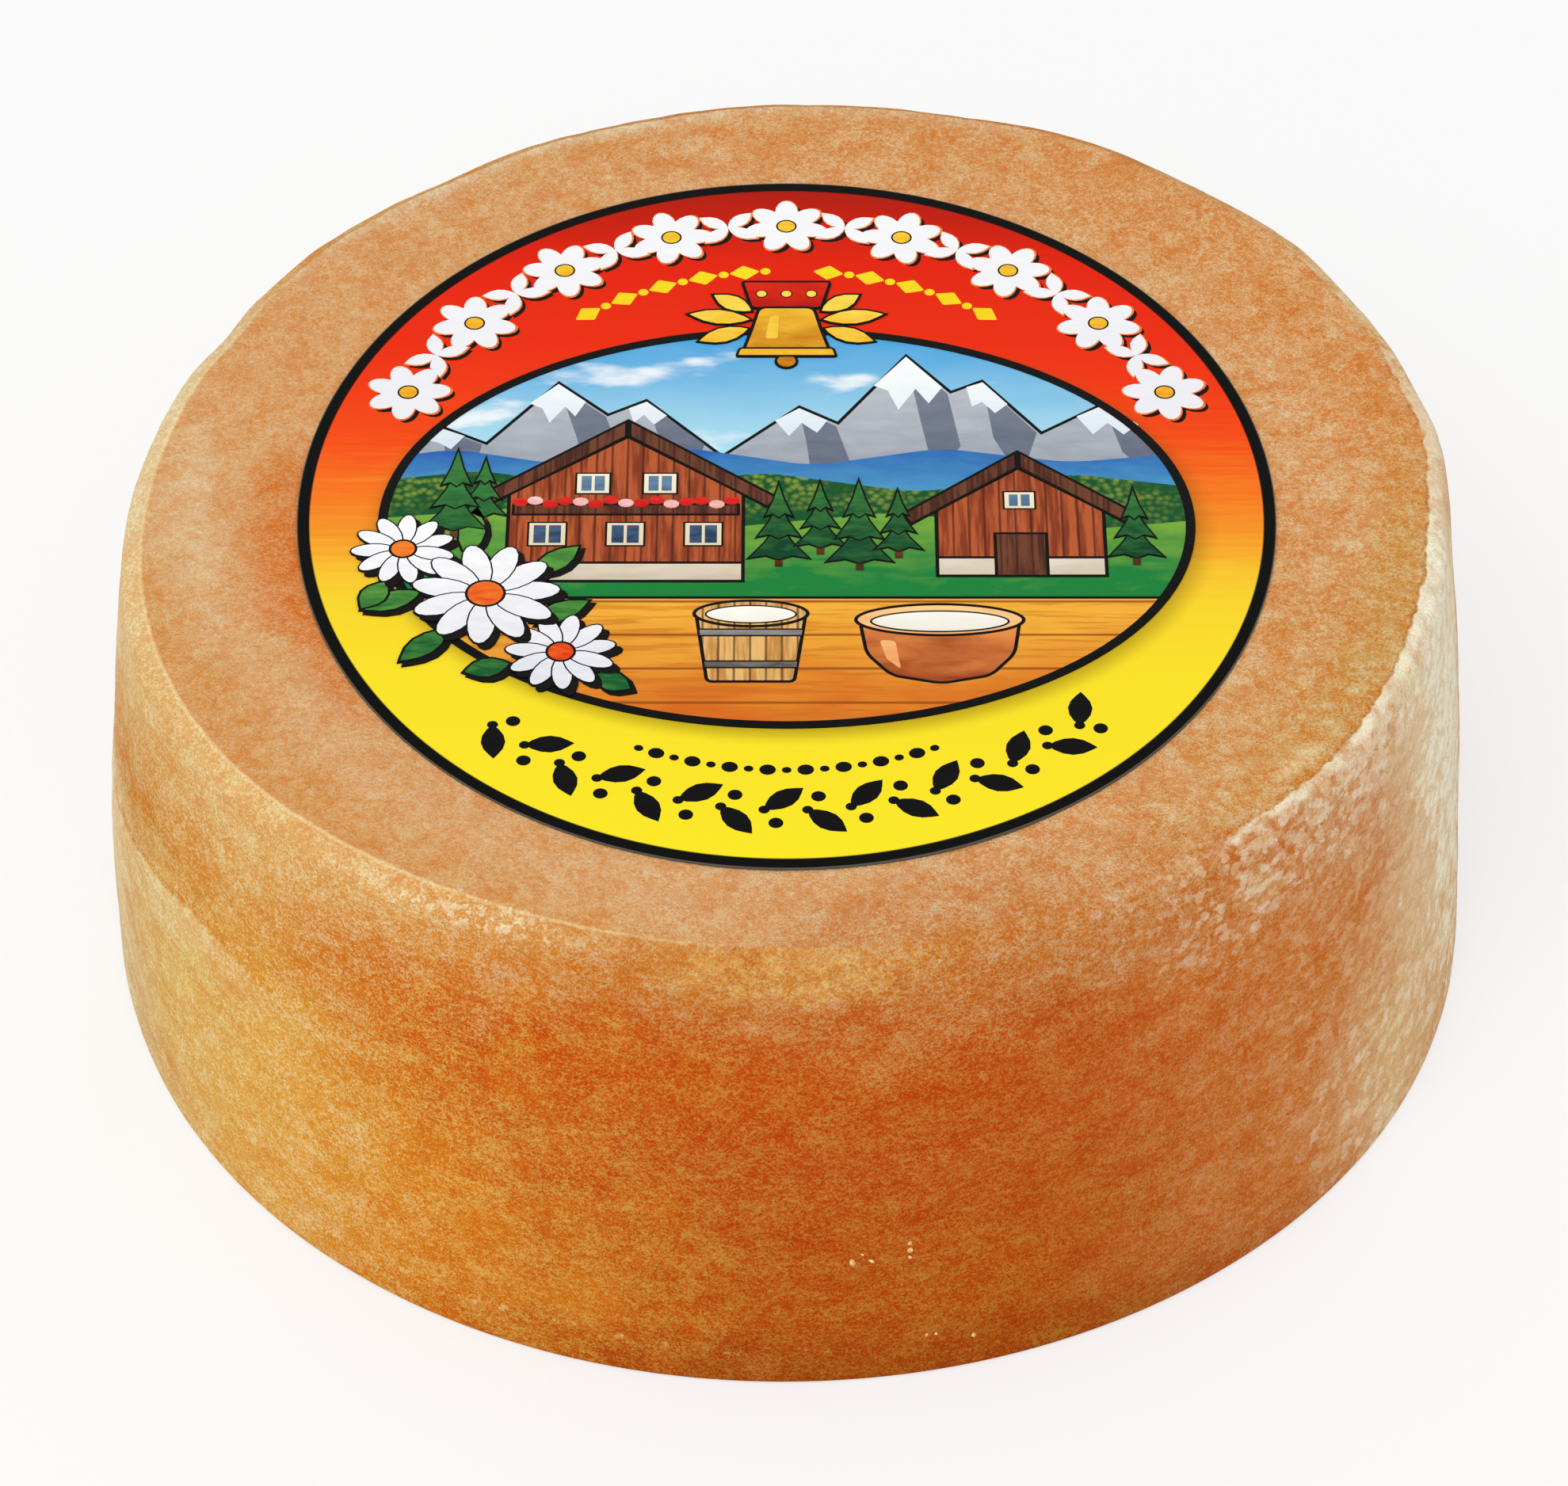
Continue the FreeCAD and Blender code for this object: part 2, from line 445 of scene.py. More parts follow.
# Zones of the side: colour, middle and reach in degrees round from the front (to the right),
# middle and reach in millimetres up, feather, fray and strength.
SIDE_ZONES = (
    ("amber, left of the front", (218, 137, 42), -20, 23, 12, 60, 0.5, 0.35, 0.9),
    ("deep orange front", (184, 94, 25), 26, 40, 12, 80, 0.45, 0.3, 1.0),
    ("red heart", (195, 95, 36), 12, 36, 27, 11.4, 0.8, 0.8, 0.6),
    ("tan right", (209, 129, 64), 58, 24, 21, 80, 0.65, 0.4, 0.9),
    ("back orange", (212, 136, 62), 165, 50, 18, 60, 0.6, 0.8, 0.9),
    ("deep orange, back", (196, 108, 40), 168, 28, 12, 16, 0.8, 1.0, 0.6),
    ("tan foot, far right", (196, 132, 82), 86, 9, 0, 9, 0.6, 0.6, 0.8),
    ("pale cream, back left", (232, 204, 150), -146, 20, 24, 14, 0.8, 1.3, 0.5),
    ("tan under the shoulder, back", (206, 146, 84), 176, 50, 41, 6, 0.7, 0.8, 0.6),
    ("dark foot, back", (158, 84, 22), 170, 55, -2, 6, 0.75, 0.5, 0.5),
    ("pale bloom, back right", (236, 210, 162), 127, 17, 26, 15, 0.8, 1.3, 0.65),
    ("far left cream", (238, 216, 170), -95, 24, 20, 70, 0.45, 0.5, 0.9),
    ("amber, round the left, low", (212, 144, 66), -115, 12, 9, 11, 0.8, 1.1, 0.6),
    ("amber, round the left, high", (214, 150, 76), -111, 8, 32, 6, 0.8, 1.1, 0.5),
    ("brown over the fold", (211, 139, 42), -67, 18, 27.4, 6, 0.7, 0.7, 0.75),
    ("pale under the fold", (225, 196, 128), -61, 10, 17, 9, 0.6, 0.7, 0.5),
    ("tan under the shoulder, front", (202, 134, 73), 17, 38, 40.7, 7.9, 0.75, 0.7, 0.85),
    ("pale under the shoulder, left", (228, 186, 118), -56, 35, 41.8, 10.4, 0.6, 0.7, 0.6),
    ("yellow patches, front", (224, 172, 92), 1, 10, 38.2, 2.0, 0.7, 1.8, 0.35),
    ("dark foot", (152, 74, 12), 12, 38, -3.4, 6.2, 0.75, 0.4, 0.7),
    ("pale foot, left", (222, 198, 144), -75, 21, -1.2, 9, 0.8, 0.5, 0.6),
    ("pale foot, right", (234, 217, 170), 63, 10, 7, 14.6, 0.9, 0.8, 0.6),
    ("bloomed right", (222, 178, 130), 82, 18, 24, 60, 0.3, 0.3, 0.9),
    ("bloomed collar, right", (236, 230, 200), 84, 25, 42, 14, 0.95, 0.5, 0.6),
    ("white streak, right", (238, 224, 194), 70, 7, 24, 12, 0.8, 0.8, 0.5),
    ("white shoulder, far right", (246, 238, 214), 86, 15, 35, 12, 0.6, 0.5, 0.85),
    ("amber band, left of the front", (204, 102, 22), -20, 34, 30, 5, 0.8, 0.6, 0.4),
    ("light ochre low left", (235, 189, 93), -48, 13, 11.4, 17.6, 0.75, 0.7, 0.5),
)

# Zones of the face, laid out the same way with millimetres out from the middle.
FACE_ZONES = (
    ("rosy, front left", (219, 167, 115), -37, 47, 42.4, 9.7, 0.4, 0.5, 0.6),
    ("red beside the label", (216, 116, 44), -76, 18, 38.6, 2.7, 0.85, 1.0, 0.7),
    ("pale patches, left", (228, 196, 150), -86, 14, 46.6, 2.8, 0.6, 1.4, 0.6),
    ("cream rim, back left", (237, 247, 212), -143, 52, 53, 4.1, 0.5, 0.5, 0.8),
    ("tan right", (212, 160, 96), 62, 24, 46, 6.5, 0.6, 0.6, 0.5),
    ("sandy rim, right", (206, 160, 88), 74, 28, 48.4, 2.6, 0.7, 0.8, 0.6),
    ("sandy rim, left", (213, 150, 79), -48, 39, 48.6, 2.7, 0.5, 0.6, 0.5),
    ("orange, back right", (219, 150, 85), 145, 53, 47.1, 5, 0.4, 0.6, 0.6),
    ("brown by the front", (198, 135, 81), 18, 19, 49.1, 5.3, 0.8, 0.6, 0.6),
    ("cream crumbs by the crease, right", (240, 222, 172), 52, 3, 48.3, 0.8, 0.7, 2.2, 0.6),
    ("brown rim, front", (201, 124, 34), 30, 35, 50.9, 1.7, 0.6, 0.6, 0.6),
)

# Where the face breaks over into the shoulder, against the sharp corner of the drum.
CREASE = -1.4


# Where effects lie: what their height is measured by, and the zone's numbers.
SPOTS = {
    "thick bloom": ("Height", 78, 11, 28, 25, 0.8, 1.1, 3.0),
    "bloomed collar": ("Height", 84, 38, 40, 8, 0.7, 0.5, 4.0),
    "thin bloom": ("Height", 67, 25, 26, 40, 0.8, 0.7, 4.0),
    "crumbly shoulder": ("Height", 50, 22, 37, 6, 0.7, 0.9, 4.0),
    "crumbly foot": ("Height", 62, 13, 7, 12, 0.7, 0.9, 3.0),
    "crumbly back": ("Height", 126, 14, 27, 13, 0.8, 1.2, 3.0),
    "orange past the bloom": ("Height", 95.5, 10, 18, 20, 0.45, 0.8, 4.5),
    "fold": ("Height", -64, 15, 23, 9, 0.5, 0.4, 5.0),
    "woven face": ("Out", 80, 62, 45, 12, 0.5, 0.6, 5.0),
    "ragged crease": ("Height", 70, 50, 40, 14, 0.6, 0.4, 5.0),
    "soft crease": ("Height", 24, 14, 40, 14, 0.5, 0.4, 5.0),
    # Where the painted highlight along the crease lies.
    "crease highlight": ("Height", -64, 52, 40, 14, 0.35, 0.4, 5.0),
    "darker crease line": ("Height", 74, 36, 40, 14, 0.3, 1.2, 3.0),
    # Where the painted highlight on the shoulder's rounding lies, just past the crease on the left.
    "pale strip, painted highlight": ("Past", -62, 36, 0.6, 2.4, 0.6, 0.5, 5.0),
    "crust": ("Past", 60, 28, 0.35, 0.75, 0.5, 1.3, 1.6),
    "lively felt, face": ("Out", 110, 110, 45, 14, 0.4, 0.4, 5.0),
    "lively felt, side": ("Height", -78, 56, 20, 60, 0.5, 0.3, 5.0),
    "velvet side": ("Height", 47, 26, 18, 30, 0.6, 0.4, 5.0),
}

# Pale crumbs and tufts on the side: the zone's numbers, their size, limit, strength and colour.
TUFTS = (
    ((42, 22, 36, 6, 0.7, 0.9, 5.0), 1.0, 0.58, 0.35, (232, 196, 144)),
    ((1, 10, 38.1, 2.2, 0.5, 1.2, 3.0), 1.1, 0.50, 0.4, (228, 184, 104)),
    ((-27, 9, 39.4, 0.8, 0.6, 0.6, 5.0), 0.7, 0.52, 0.6, (244, 226, 188)),
    ((-32, 28, 3.4, 0.5, 0.5, 0.3, 5.0), 0.9, 0.56, 0.5, (236, 196, 122)),
    ((-84, 11, 17, 17, 0.5, 0.5, 5.0), 0.7, 0.58, 0.5, (246, 236, 212)),
)


def zone_mask(place, up, numbers):
    sockets = {"Point": place["Point"], "Turn": place["Turn"], "Up": up}
    sockets.update(zip(ZONE_SOCKETS, numbers))
    return use_group(up.tree, "zone", sockets)["Mask"]


def spot(place, name):
    """The mask of a named spot."""
    measure, *numbers = SPOTS[name]
    return zone_mask(place, place[measure], numbers)


# How finely the edges of the zones fray.
ZONE_FRAY_SIZE = 5.0


def add_zones(place, up, colour, zones):
    """Lays the zones over a base colour, each with its own frayed edge."""
    for _, shade, *numbers, strength in zones:
        mask = zone_mask(place, up, (*numbers, ZONE_FRAY_SIZE))
        colour = mix(mask * strength, colour, paint(*shade))
    return colour


def mottle(share, colour, deep, pale):
    """Shares a colour out between a deeper and a paler tint of it."""
    return mix(share, tinted(colour, *deep), tinted(colour, *pale))


def add_film(place, colour, thick):
    """The soft film of the white bloom over the orange."""
    density = highest(thick, spot(place, "bloomed collar") * 0.75)
    density = highest(density, spot(place, "thin bloom") * 0.36)
    film = cloud(place["Point"], 1.0, 3.0, (1.5, 1.5, 1), 11.0, 0.6, 0.4)
    cover = fade(film - fade(density, 0.3, 1.0, 0.54, 0.36), -0.08, 0.08) * density
    gaps = mix(fade(density, 0.0, 0.6), colour, tinted(colour, 0.97, 0.86, 0.70))
    white = mix(density, paint(244, 214, 158), paint(246, 236, 210))
    colour = mix(cover * 0.8, gaps, white)
    return mix(thick * 0.45, colour, paint(222, 190, 148))


def add_bloom(place, colour):
    """The white bloom on the right: a soft film over the orange, crumbly where it is thick.

    Gives the colour and the nearness to the heart of a crumb.
    """
    point = place["Point"]
    thick = spot(place, "thick bloom")
    colour = add_film(place, colour, thick)
    crumbly = highest(spot(place, "crumbly foot"), spot(place, "crumbly back"))
    crumbly = highest(spot(place, "crumbly shoulder"), crumbly)
    crumbly = highest(crumbly * 0.55, thick)
    crumbs = use_group(point.tree, "crumbs", {"Point": point, "Size": 1.05})
    frayed = cloud(point, 0.6, 3.0, (1.5, 1.5, 1), 43.0, 0.7) - 0.5
    near = frayed * 1.5 + (crumbs["Lot"] * 0.22 + crumbs["Near"])
    cover = fade(near - fade(crumbly, 0.1, 1.0, 0.78, 0.46), -0.10, 0.22)
    cover = cover * fade(crumbly, 0.05, 0.6) * fade(thick, 0.0, 1.0, 0.42, 0.85)
    white = mix(crumbs["Lot"], paint(238, 214, 164), paint(250, 245, 224))
    white = mix(thick * 0.7, white, paint(250, 243, 220))
    return mix(cover, colour, white), crumbs["Near"]


def rind_measure(tree, name):
    """A measure that the wheel's mesh carries at each of its points."""
    return named(add_node(tree, "Attribute", attribute_name=name))["Fac"]


def add_fold(place, colour):
    """The old fold on the left: a line of painted shade along it, with a painted highlight on the
    lip under it.
    """
    wander = cloud(place["Point"], 1.2, 3.0, shift=3.0) - 0.5
    above = wander * 0.7 + rind_measure(colour.tree, "above_fold")
    where = spot(place, "fold")
    # Painted highlight: the lip under the fold, made paler as it bulges out into the light.
    lit_lip = fade(above, 0.1, -0.2) * fade(above, -6.0, -0.8) * where
    colour = mix(lit_lip * 0.55, colour, paint(238, 206, 146))
    # Painted shade: a dark brown line along the fold.
    line = fade(abs(above - 0.3), 0.40, 0.05) * where
    return mix(line * 0.4, colour, paint(194, 120, 46))


def rind_side_colour(place):
    """The side of the wheel: its colour and the nearness to the heart of a crumb."""
    point = place["Point"]
    height = place["Height"]
    colour = add_zones(place, height, paint(221, 163, 86), SIDE_ZONES)
    colour = add_fold(place, colour)
    smears = fade(cloud(point, 1.8, 3.0, (4, 4, 0.8), 71.0, 0.6), 0.38, 0.62)
    colour = mottle(smears, colour, (0.985, 0.93, 0.89), (1.01, 1.055, 1.10))
    colour, near = add_bloom(place, colour)
    colour = mix(spot(place, "orange past the bloom") * 0.75, colour, paint(208, 132, 70))
    for numbers, size, limit, strength, shade in TUFTS:
        mask = flecks(point, size, limit) * zone_mask(place, height, numbers)
        colour = mix(mask * strength, colour, paint(*shade))
    return colour, near


def rind_face_colour(place):
    """The face of the wheel, round the label."""
    point = place["Point"]
    colour = add_zones(place, place["Out"], paint(220, 161, 104), FACE_ZONES)
    net = fade(cloud(point, 1.5, 4.0, shift=5.0, rough=0.6, warp=0.9), 0.38, 0.60)
    colour = mottle(net, colour, (0.99, 0.91, 0.80), (1.01, 1.08, 1.17))
    cells = {"Vector": point, "Scale": 0.62, "Randomness": 0.75}
    cells = fade(add_node(point.tree, "TexVoronoi", cells)[0], 0.61, 0.28)
    woven = mottle(cells, colour, (0.99, 0.91, 0.82), (1.02, 1.10, 1.22))
    colour = mix(spot(place, "woven face") * 0.9, colour, woven)
    return mix(flecks(point, 0.75, 0.69) * 0.4, colour, paint(240, 206, 162))


def felt_contrast(place, beyond):
    """How strongly the felt shows: round the face and, beyond the crease, along the side."""
    face = fade(spot(place, "lively felt, face"), 0.0, 1.0, 0.85, 1.2)
    side = fade(spot(place, "lively felt, side"), 0.0, 1.0, 1.0, 1.5)
    side = side * fade(spot(place, "velvet side"), 0.0, 1.0, 1.0, 0.75)
    return face + beyond * (side - face)


def rind_material():
    """The washed, smeared rind."""
    material, tree, shader = new_material("washed_rind", 0.8, 0.03)
    place = use_group(tree, "place")
    point = place["Point"]
    height = place["Height"]
    wander = cloud(point, 1.2, 3.0, shift=3.0) - 0.5
    wander = wander * fade(spot(place, "ragged crease"), 0.0, 1.0, 0.2, 1.0)
    past = rind_measure(tree, "below_shoulder") + wander - CREASE
    place["Past"] = past
    side, near = rind_side_colour(place)
    # Painted highlight: the shoulder's rounding just past the crease on the left, made paler where
    # it faces the light.
    side = mix(spot(place, "pale strip, painted highlight") * 0.35, side, paint(232, 192, 130))
    patchy = fade(cloud(point, 2.6, 3.0, shift=63.0), 0.40, 0.58, 0.15, 0.85)
    side = mix(spot(place, "crust") * patchy, side, paint(246, 236, 206))
    softness = fade(spot(place, "soft crease"), 0.0, 1.0, 0.14, 3.2)
    beyond = fade(past / softness, -1.0, 1.0)
    colour = mix(beyond, rind_face_colour(place), side)
    # Painted highlight: a thin pale line along the crease on the left and the front, which also
    # stands for the paler rind of its ridge.
    line = fade(abs(past), 0.26, 0.04) * spot(place, "crease highlight")
    colour = mix(line * 0.6, colour, paint(246, 216, 158))
    # A darker brown line just inside the crease, on the right.
    darker_line = fade(abs(past + 0.2), 0.22, 0.03) * spot(place, "darker crease line")
    colour = mix(darker_line * 0.35, colour, paint(176, 110, 46))
    sockets = {"Point": point, "Color": tinted(colour, 1.04, 1.04, 1.04)}
    felt = use_group(tree, "felt", {**sockets, "Contrast": felt_contrast(place, beyond)})
    connect(tree, shader.inputs["Base Color"], felt["Color"])
    lumpy = fade(place["Turn"], 36, 66) * fade(place["Turn"], 100, 84) * near
    lumpy = lumpy * fade(height, 39.9, 39.3, 0.0, 0.10)
    bump(tree, shader, felt["Relief"] * 0.32 + lumpy)
    return material


def paste_material():
    """The cut: pale, close paste, darker under the rind."""
    material, tree, shader = new_material("ivory_paste", 0.5)
    place = use_group(tree, "place")
    point = place["Point"]
    drift = cloud(point, 9.0, 3.0, shift=2.0)
    colour = mix(fade(drift, 0.35, 0.65), paint(236, 216, 160), paint(243, 228, 180))
    inward = CUT_RADIUS - place["Out"] + (drift - 0.5) * 2.0
    colour = mix(fade(inward, 4.5, 1.2, 0.0, 0.8), colour, paint(214, 176, 104))
    colour = mix(fade(inward, 1.3, 0.7), colour, paint(186, 112, 44))
    grain = cloud(point, 0.5, 3.0, shift=8.0)
    colour = mix(fade(grain, 0.5, 0.3, 0.0, 0.25), colour, paint(206, 176, 112))
    eyes = flecks(point, 4.0, 0.73)
    colour = mix(eyes * 0.5, colour, paint(190, 156, 90))
    connect(tree, shader.inputs["Base Color"], colour)
    bump(tree, shader, grain * 0.05 - eyes * 0.4)
    return material


# How far the cut and the face stray from a circle, in millimetres: cosine and sine shares of
# one wave round the wheel, two waves and so on.
CUT_WAVES = ((-0.04, -0.21), (-0.66, -0.53), (0.26, -0.20), (-0.15, -0.11), (0.06, -0.09))
FACE_WAVES = ((-0.07, 0.36), (-0.07, 1.13), (-0.21, -0.30), (-0.08, 0.26), (0.08, -0.04))
CUT_SPREAD = 0.06
FACE_SPREAD = 0.22


def wave_sum(spread, waves, angle):
    """An even spread with waves round the wheel on top."""
    for count, (cosine, sine) in enumerate(waves, start=1):
        spread += cosine * math.cos(count * angle) + sine * math.sin(count * angle)
    return spread


def out_of_round(angle, part):
    """How far the outline strays from a circle, in millimetres, at part of the height."""
    cut = wave_sum(CUT_SPREAD, CUT_WAVES, angle)
    face = wave_sum(FACE_SPREAD, FACE_WAVES, angle)
    return cut + (face - cut) * part


def turn_of(point):
    """Degrees round from the front, to the right."""
    return math.degrees(math.atan2(point.x, -point.y))


def step_up(value, start, end):
    """0 before start, 1 after end, smooth between."""
    part = min(max((value - start) / (end - start), 0.0), 1.0)
    return part * part * (3 - 2 * part)


def hump(value, middle, reach):
    """A smooth bump of height 1."""
    return math.exp(-(((value - middle) / reach) ** 2))


# Dents (below zero) and bulges of the rim: degrees from the right-hand side, reach, millimetres.
RIM_MARKS = (
    (156, 4, -0.35),
    (139, 6, 0.22),
    (124, 5, -0.2),
    (64, 6, 0.25),
    (37, 5, 0.2),
    (10, 5, 0.28),
    (-4, 5, -0.2),
    (-35, 16, 0.5),
)


def fold_height(turn):
    """The height of the old fold on the left of the side."""
    rise = min(max((turn + 75) / 19, 0.0), 1.0)
    drop = min(max((turn + 54) / 10, 0.0), 1.0)
    return 20.5 + 4.5 * rise**0.8 - 1.4 * drop


def relief(point, turn):
    """How far the rind stands out, in millimetres, at a point of the side or face."""
    broad = noise.noise(point / 15) * 0.24 + noise.noise(point / 6 + Vector((7, 0, 0))) * 0.12
    fine = noise.noise(point / 2.2) * 0.05 + noise.noise(point / 1.1) * 0.025
    fold = 0.0
    if -84 < turn < -30 and point.z < 36:
        reach = step_up(turn, -84, -70) * step_up(turn, -32, -44)
        away = point.z - fold_height(turn)
        fold = reach * (0.24 * hump(away, -0.6, 0.9) - 0.18 * hump(away, 1.3, 1.2))
    groove = -0.10 * hump(point.z, 3.9, 0.5) * step_up(turn, -64, -54) * step_up(turn, 24, 10)
    return broad + fine + fold + groove


# How far the side swells at half its height and how far the face lies right of the cut, in
# millimetres.
SIDE_SWELL = 0.7
FACE_LEAN = 0.71


def stretched(point):
    """Where a point of the true drum lies with the barrel side and the uneven outline."""
    angle = math.atan2(point.y, point.x)
    part = point.z / WHEEL_TOP
    edge = CUT_RADIUS + (FACE_RADIUS - CUT_RADIUS) * part
    growth = 4 * SIDE_SWELL * part * (1 - part) + out_of_round(angle, part)
    for middle, reach, depth in RIM_MARKS:
        away = (math.degrees(angle) - middle + 180) % 360 - 180
        growth += depth * hump(away, 0, reach) * step_up(part, 0.3, 0.95)
    stretch = 1 + math.hypot(point.x, point.y) / edge * growth / edge
    return Vector((point.x * stretch + FACE_LEAN * part, point.y * stretch, point.z))


def crease_relief(point, turn, past):
    """How far the crease stands out or in: an arris, crumbled on the right, soft in front."""
    soft = hump(turn, 22, 19)
    corner = math.hypot(math.hypot(point.x, point.y) - FACE_RADIUS, point.z - WHEEL_TOP)
    sink = (0.1 + 0.5 * soft) * hump(corner, 0.8, 2.2)
    arris = (1 - 0.9 * soft) * (0.10 * hump(past, -0.1, 0.45) - 0.12 * hump(past, 0.9, 0.6))
    arris *= 1 - 0.8 * step_up(turn, 34, 50) * step_up(turn, 110, 90)
    crumble = step_up(turn, 30, 44) * step_up(turn, 100, 86) * hump(past, 0.5, 0.9)
    crumble *= 0.03 + 0.5 * noise.noise(point / 1.7 + Vector((3, 5, 0)))
    return arris + crumble - sink


def shape_wheel(bm):
    """Moves every point of the true drum to where this one wheel has it."""
    bm.normal_update()
    below = bm.verts.layers.float["below_shoulder"]
    places = []
    for vertex in bm.verts:
        point = vertex.co
        turn = turn_of(point)
        flat = step_up(point.z, 0.1, 1.5) * step_up(math.hypot(point.x, point.y), 37.5, 43)
        stand = relief(point, turn) + crease_relief(point, turn, vertex[below] - CREASE)
        places.append(stretched(point) + vertex.normal * (stand * flat))
    for vertex, place in zip(bm.verts, places):
        vertex.co = place


# Out to here, under the label, the face is drawn coarsely. Then how far apart the points of the
# section are in the coarse part and elsewhere, its rounded corners, and the steps of its turn.
FACE_PLAIN = 35.5
COARSE_SPACING = 3.8
FINE_SPACING = 0.7
CUT_ROUND = 0.5
SHOULDER_ROUND = 1.5
WHEEL_STEPS = 480


def wheel_section():
    """Half of the upright section as a chain of edges, its foot and shoulder rounded."""
    bm = bmesh.new()
    corners = (
        (0, 0),
        (CUT_RADIUS - 9, 0),
        (CUT_RADIUS, 0),
        (FACE_RADIUS, WHEEL_TOP),
        (FACE_PLAIN, WHEEL_TOP),
        (0, WHEEL_TOP),
    )
    chain = [bm.verts.new((out, 0, height)) for out, height in corners]
    bm.faces.new(chain)
    round_corners(bm, [chain[2]], CUT_ROUND, 4)
    round_corners(bm, [chain[3]], SHOULDER_ROUND, 9)
    bmesh.ops.delete(bm, geom=bm.faces[:], context="FACES_ONLY")
    axis = [edge for edge in bm.edges if all(vertex.co.x < 0.01 for vertex in edge.verts)]
    bmesh.ops.delete(bm, geom=axis, context="EDGES")
    for edge in bm.edges[:]:
        length = edge.calc_length()
        coarse = min(vertex.co.x for vertex in edge.verts) < 0.01
        spacing = COARSE_SPACING if coarse else FINE_SPACING
        if length > 1.5 * spacing:
            bmesh.ops.subdivide_edges(bm, edges=[edge], cuts=int(length / spacing))
    return bm


def measure_rind(bm):
    """Notes at every point how far below the shoulder and above the fold it lies."""
    below = bm.verts.layers.float.new("below_shoulder")
    above = bm.verts.layers.float.new("above_fold")
    for vertex in bm.verts:
        turn = turn_of(vertex.co)
        inward = FACE_RADIUS - math.hypot(vertex.co.x, vertex.co.y)
        drop = WHEEL_TOP - vertex.co.z - max(inward, 0.0)
        vertex[below] = drop - 0.55 * hump(turn, 55, 22)
        vertex[above] = vertex.co.z - fold_height(turn)


def make_wheel():
    """The half wheel: a drum with a barrel side and a narrow shoulder, lying on its cut."""
    bm = wheel_section()
    bmesh.ops.spin(
        bm,
        geom=bm.verts[:] + bm.edges[:],
        axis=(0, 0, 1),
        cent=(0, 0, 0),
        angle=math.tau,
        steps=WHEEL_STEPS,
        use_merge=True,
    )
    bmesh.ops.remove_doubles(bm, verts=bm.verts, dist=0.0001)
    bmesh.ops.recalc_face_normals(bm, faces=bm.faces)
    measure_rind(bm)
    for face in bm.faces:
        face.smooth = True
        middle = face.calc_center_median()
        if middle.z < 0.02 and math.hypot(middle.x, middle.y) < CUT_RADIUS - 0.4:
            face.material_index = 1
    shape_wheel(bm)
    make_crumbs(crumb_places(bm))
    wheel = finish_piece("half_wheel", bm, [rind_material(), paste_material()])
    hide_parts("cheese_half_wheel")


def crumb_places(bm):
    """Where loose crumbs of rind cling: a place, the way out of the rind and a size."""
    bm.normal_update()
    below = bm.verts.layers.float["below_shoulder"]
    chosen = random.Random(7)
    places = []
    for vertex in bm.verts:
        turn = turn_of(vertex.co)
        height = vertex.co.z
        crease = -35 < turn < -20 and -0.4 < vertex[below] - CREASE < 0.45
        row = -56 < turn < 18 and 3.0 < height < 4.0
        cluster = 5 < turn < 13 and 11.6 < height < 13.8
        share = 0.12 * crease + 0.016 * row + 0.12 * cluster
        if chosen.random() < share:
            size = chosen.uniform(0.10, 0.26) * (1.25 if crease else 1.0)
            places.append((vertex.co.copy(), vertex.normal.copy(), size, chosen.random()))
    return places


def crumb_material():
    """Dry cream crumbs."""
    material, tree, shader = new_material("dry_crumbs", 0.75)
    point = use_group(tree, "place")["Point"]
    shade = cloud(point, 0.5, 3.0, shift=14.0)
    colour = mix(fade(shade, 0.40, 0.60), paint(222, 170, 102), paint(244, 214, 164))
    connect(tree, shader.inputs["Base Color"], colour)
    bump(tree, shader, shade * 0.1)
    return material


def make_crumbs(places):
    """Small flattened crumbs, half sunk in the rind."""
    bm = bmesh.new()
    for place, outward, size, lot in places:
        facing = outward.to_track_quat("Z", "Y").to_matrix().to_4x4()
        spin = Matrix.Rotation(lot * math.tau, 4, "Z")
        flatten = Matrix.Diagonal((size * (1 + 0.9 * lot), size, size * 0.55, 1))
        matrix = Matrix.Translation(place) @ facing @ spin @ flatten
        bmesh.ops.create_icosphere(bm, subdivisions=1, radius=1, matrix=matrix)
    for face in bm.faces:
        face.smooth = True
    finish_piece("rind_crumbs", bm, [crumb_material()])


def finish_piece(name, bm, materials):
    """Brings a piece to metres, makes it an object and lets it ride on the body."""
    bmesh.ops.scale(bm, vec=(MM, MM, MM), verts=bm.verts)
    mesh = bpy.data.meshes.new(name)
    bm.to_mesh(mesh)
    bm.free()
    for material in materials:
        mesh.materials.append(material)
    piece = bpy.data.objects.new(name, mesh)
    bpy.context.scene.collection.objects.link(piece)
    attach(piece, "root")
    return piece


# ---------------------------------------------------------------- the paper label


# The picture's oval on the label.
PICTURE_X = 0.0
PICTURE_Y = -2.0
PICTURE_HALF_WIDTH = 31.5
PICTURE_HALF_HEIGHT = 23.6

# Where the label's black ring starts and ends and its cut edge starts, as parts of the way out.
RING_IN = (0.972, 0.976)
RING_OUT = (0.997, 0.9995)

# The label's ground from its foot (0) to its top (1).
GROUND = (
    (0.00, (249, 230, 36)), (0.27, (249, 223, 40)), (0.36, (248, 212, 44)),
    (0.40, (247, 197, 46)), (0.43, (247, 172, 42)), (0.46, (246, 150, 38)),
    (0.50, (246, 130, 34)), (0.55, (246, 106, 28)), (0.60, (245, 77, 20)),
    (0.68, (240, 57, 17)), (0.74, (236, 47, 14)), (0.87, (228, 36, 9)),
    (0.94, (196, 28, 6)), (1.00, (166, 25, 9)),
)


